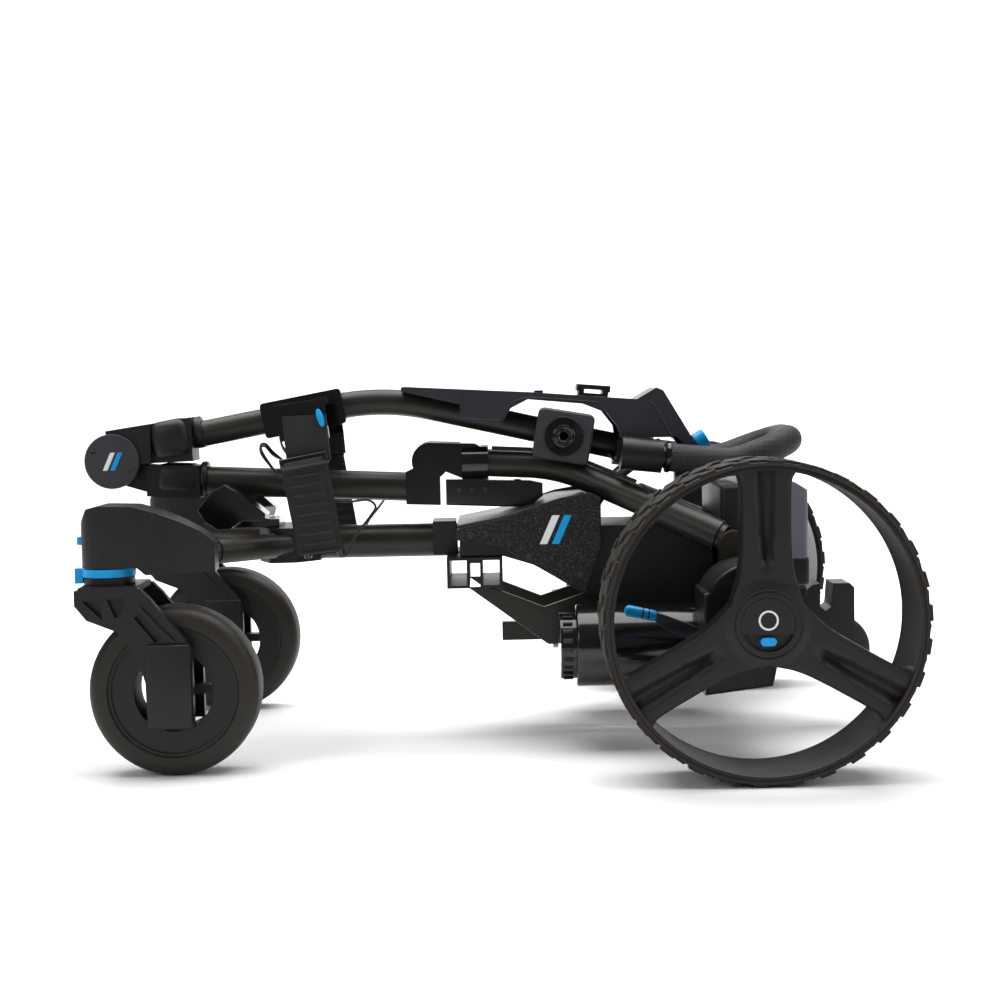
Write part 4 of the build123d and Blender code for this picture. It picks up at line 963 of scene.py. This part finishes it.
def makeBatteryDetails():
    look = batteryLook
    low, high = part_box("battery_case")
    length = high[0] - low[0] + look["grow"]
    width = high[1] - low[1] + look["grow"]
    addBlock("batteryBand", "battery_case", "mouldedBlack", (length, width, look["bandHeight"]),
             ((low[0] + high[0]) / 2, 0, low[2] + look["bandLift"]), 0, look["bandEdge"])
    for step in range(look["ribs"]):
        addBlock(f"batteryRib_{step}", "battery_case", "batteryPlastic", look["ribSize"],
                 (high[0] - 0.0002, 0, low[2] + look["ribStart"] + step * look["ribPitch"]), 0,
                 look["ribEdge"])
    addBlock("batteryFront", "battery_case", "mouldedBlack", (look["frontDepth"], width, look["frontHeight"]),
             (low[0] + look["frontX"], 0, low[2] + look["frontLift"]), 0, look["frontEdge"])


makeBatteryDetails()

# motors: a fan of vent slots on each front flange
ventLook = dict(count=9, firstAngle=-64, pitch=16, radius=0.0345, centre=(0.102, 0.108), inset=0.0075,
                size=(0.010, 0.0022, 0.0045), edge=0.0006)
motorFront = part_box("motors")[0][0]
for side, sign in sides.items():
    for step in range(ventLook["count"]):
        angle = math.radians(ventLook["firstAngle"] + step * ventLook["pitch"])
        across = ventLook["centre"][0] + ventLook["radius"] * math.cos(angle)
        height = ventLook["centre"][1] + ventLook["radius"] * math.sin(angle)
        addBlock(f"motorVent_{side}_{step}", "motors", "coverPlastic", ventLook["size"],
                 (motorFront + ventLook["inset"], sign * across, height), math.degrees(angle) * -sign,
                 ventLook["edge"], "X")
print("console, battery and motor details made")

# floor, light and camera
sweepLook = dict(front=-3.0, back=3.2, width=12.0, radius=1.2, height=3.2, steps=24,
                 paint=(0.95, 0.95, 0.95, 1), rough=0.9, specular=0.1)


def makeSweep():  # one white sheet: the floor, a wide curve and the wall behind
    look = sweepLook
    line = [(look["front"], 0.0)]
    for step in range(look["steps"] + 1):
        angle = math.radians(90 * step / look["steps"])
        line.append((look["back"] + look["radius"] * math.sin(angle), look["radius"] * (1 - math.cos(angle))))
    line.append((look["back"] + look["radius"], look["height"]))
    half = look["width"] / 2
    bm = bmesh.new()
    joinRows(bm, [[bm.verts.new((across, y, z)) for y, z in line] for across in (half, -half)])
    sweep = objectFrom(bm, "studioFloor")
    smoothByAngle(sweep, 40)
    paint = bpy.data.materials.new("floorPaint")
    paint.use_nodes = True
    shader = paint.node_tree.nodes["Principled BSDF"]
    shader.inputs["Base Color"].default_value = look["paint"]
    shader.inputs["Roughness"].default_value = look["rough"]
    shader.inputs["Specular IOR Level"].default_value = look["specular"]
    sweep.data.materials.append(paint)


lampLook = {
    "topLight": dict(place=(0, 0.2, 2.4), target=(0, 0, 0.2), size=(3.0, 2.2), power=105),
    "frontLight": dict(place=(-2.2, -2.4, 1.8), target=(0, 0, 0.2), size=(0.9, 1.3), power=22),
    "sideLight": dict(place=(2.6, -1.2, 1.3), target=(0, 0, 0.2), size=(0.6, 1.6), power=18),
    "wallLight": dict(place=(0, 1.2, 2.6), target=(0, 4.4, 0.6), size=(4.0, 1.2), power=170),
}


def makeSoftbox(name, place, target, size, power):
    light = bpy.data.lights.new(name, "AREA")
    light.shape = "RECTANGLE"
    light.size, light.size_y = size
    light.energy = power
    box = bpy.data.objects.new(name, light)
    box.location = place
    box.rotation_euler = (Vector(target) - Vector(place)).to_track_quat("-Z", "Y").to_euler()
    bpy.context.scene.collection.objects.link(box)


def makeWorld(strength):
    world = bpy.data.worlds.new("studioWorld")
    world.use_nodes = True
    backdrop = world.node_tree.nodes["Background"]
    backdrop.inputs["Color"].default_value = (1, 1, 1, 1)
    backdrop.inputs["Strength"].default_value = strength
    bpy.context.scene.world = world
    bpy.context.scene.view_settings.view_transform = "Standard"


cameraLook = dict(place=(0.009, -1.8472, 0.3776), yaw=0.00702, pitch=0.0673, roll=-0.020, lens=61.3)


def makeCamera(place, yaw, pitch, roll, lens):
    forward = Vector((math.sin(yaw) * math.cos(pitch), math.cos(yaw) * math.cos(pitch), -math.sin(pitch)))
    right = forward.cross(Vector((0, 0, 1))).normalized()
    up = right.cross(forward)
    turnedRight = math.cos(roll) * right + math.sin(roll) * up
    turnedUp = -math.sin(roll) * right + math.cos(roll) * up
    camera = bpy.data.objects.new("studioCamera", bpy.data.cameras.new("studioCamera"))
    camera.data.lens = lens
    camera.data.sensor_width = 36
    camera.matrix_world = Matrix((
        (turnedRight[0], turnedUp[0], -forward[0], place[0]),
        (turnedRight[1], turnedUp[1], -forward[1], place[1]),
        (turnedRight[2], turnedUp[2], -forward[2], place[2]),
        (0, 0, 0, 1)))
    bpy.context.scene.collection.objects.link(camera)
    bpy.context.scene.camera = camera


makeSweep()
for name, look in lampLook.items():
    makeSoftbox(name, **look)
makeWorld(0.16)
makeCamera(**cameraLook)
print("studio made")
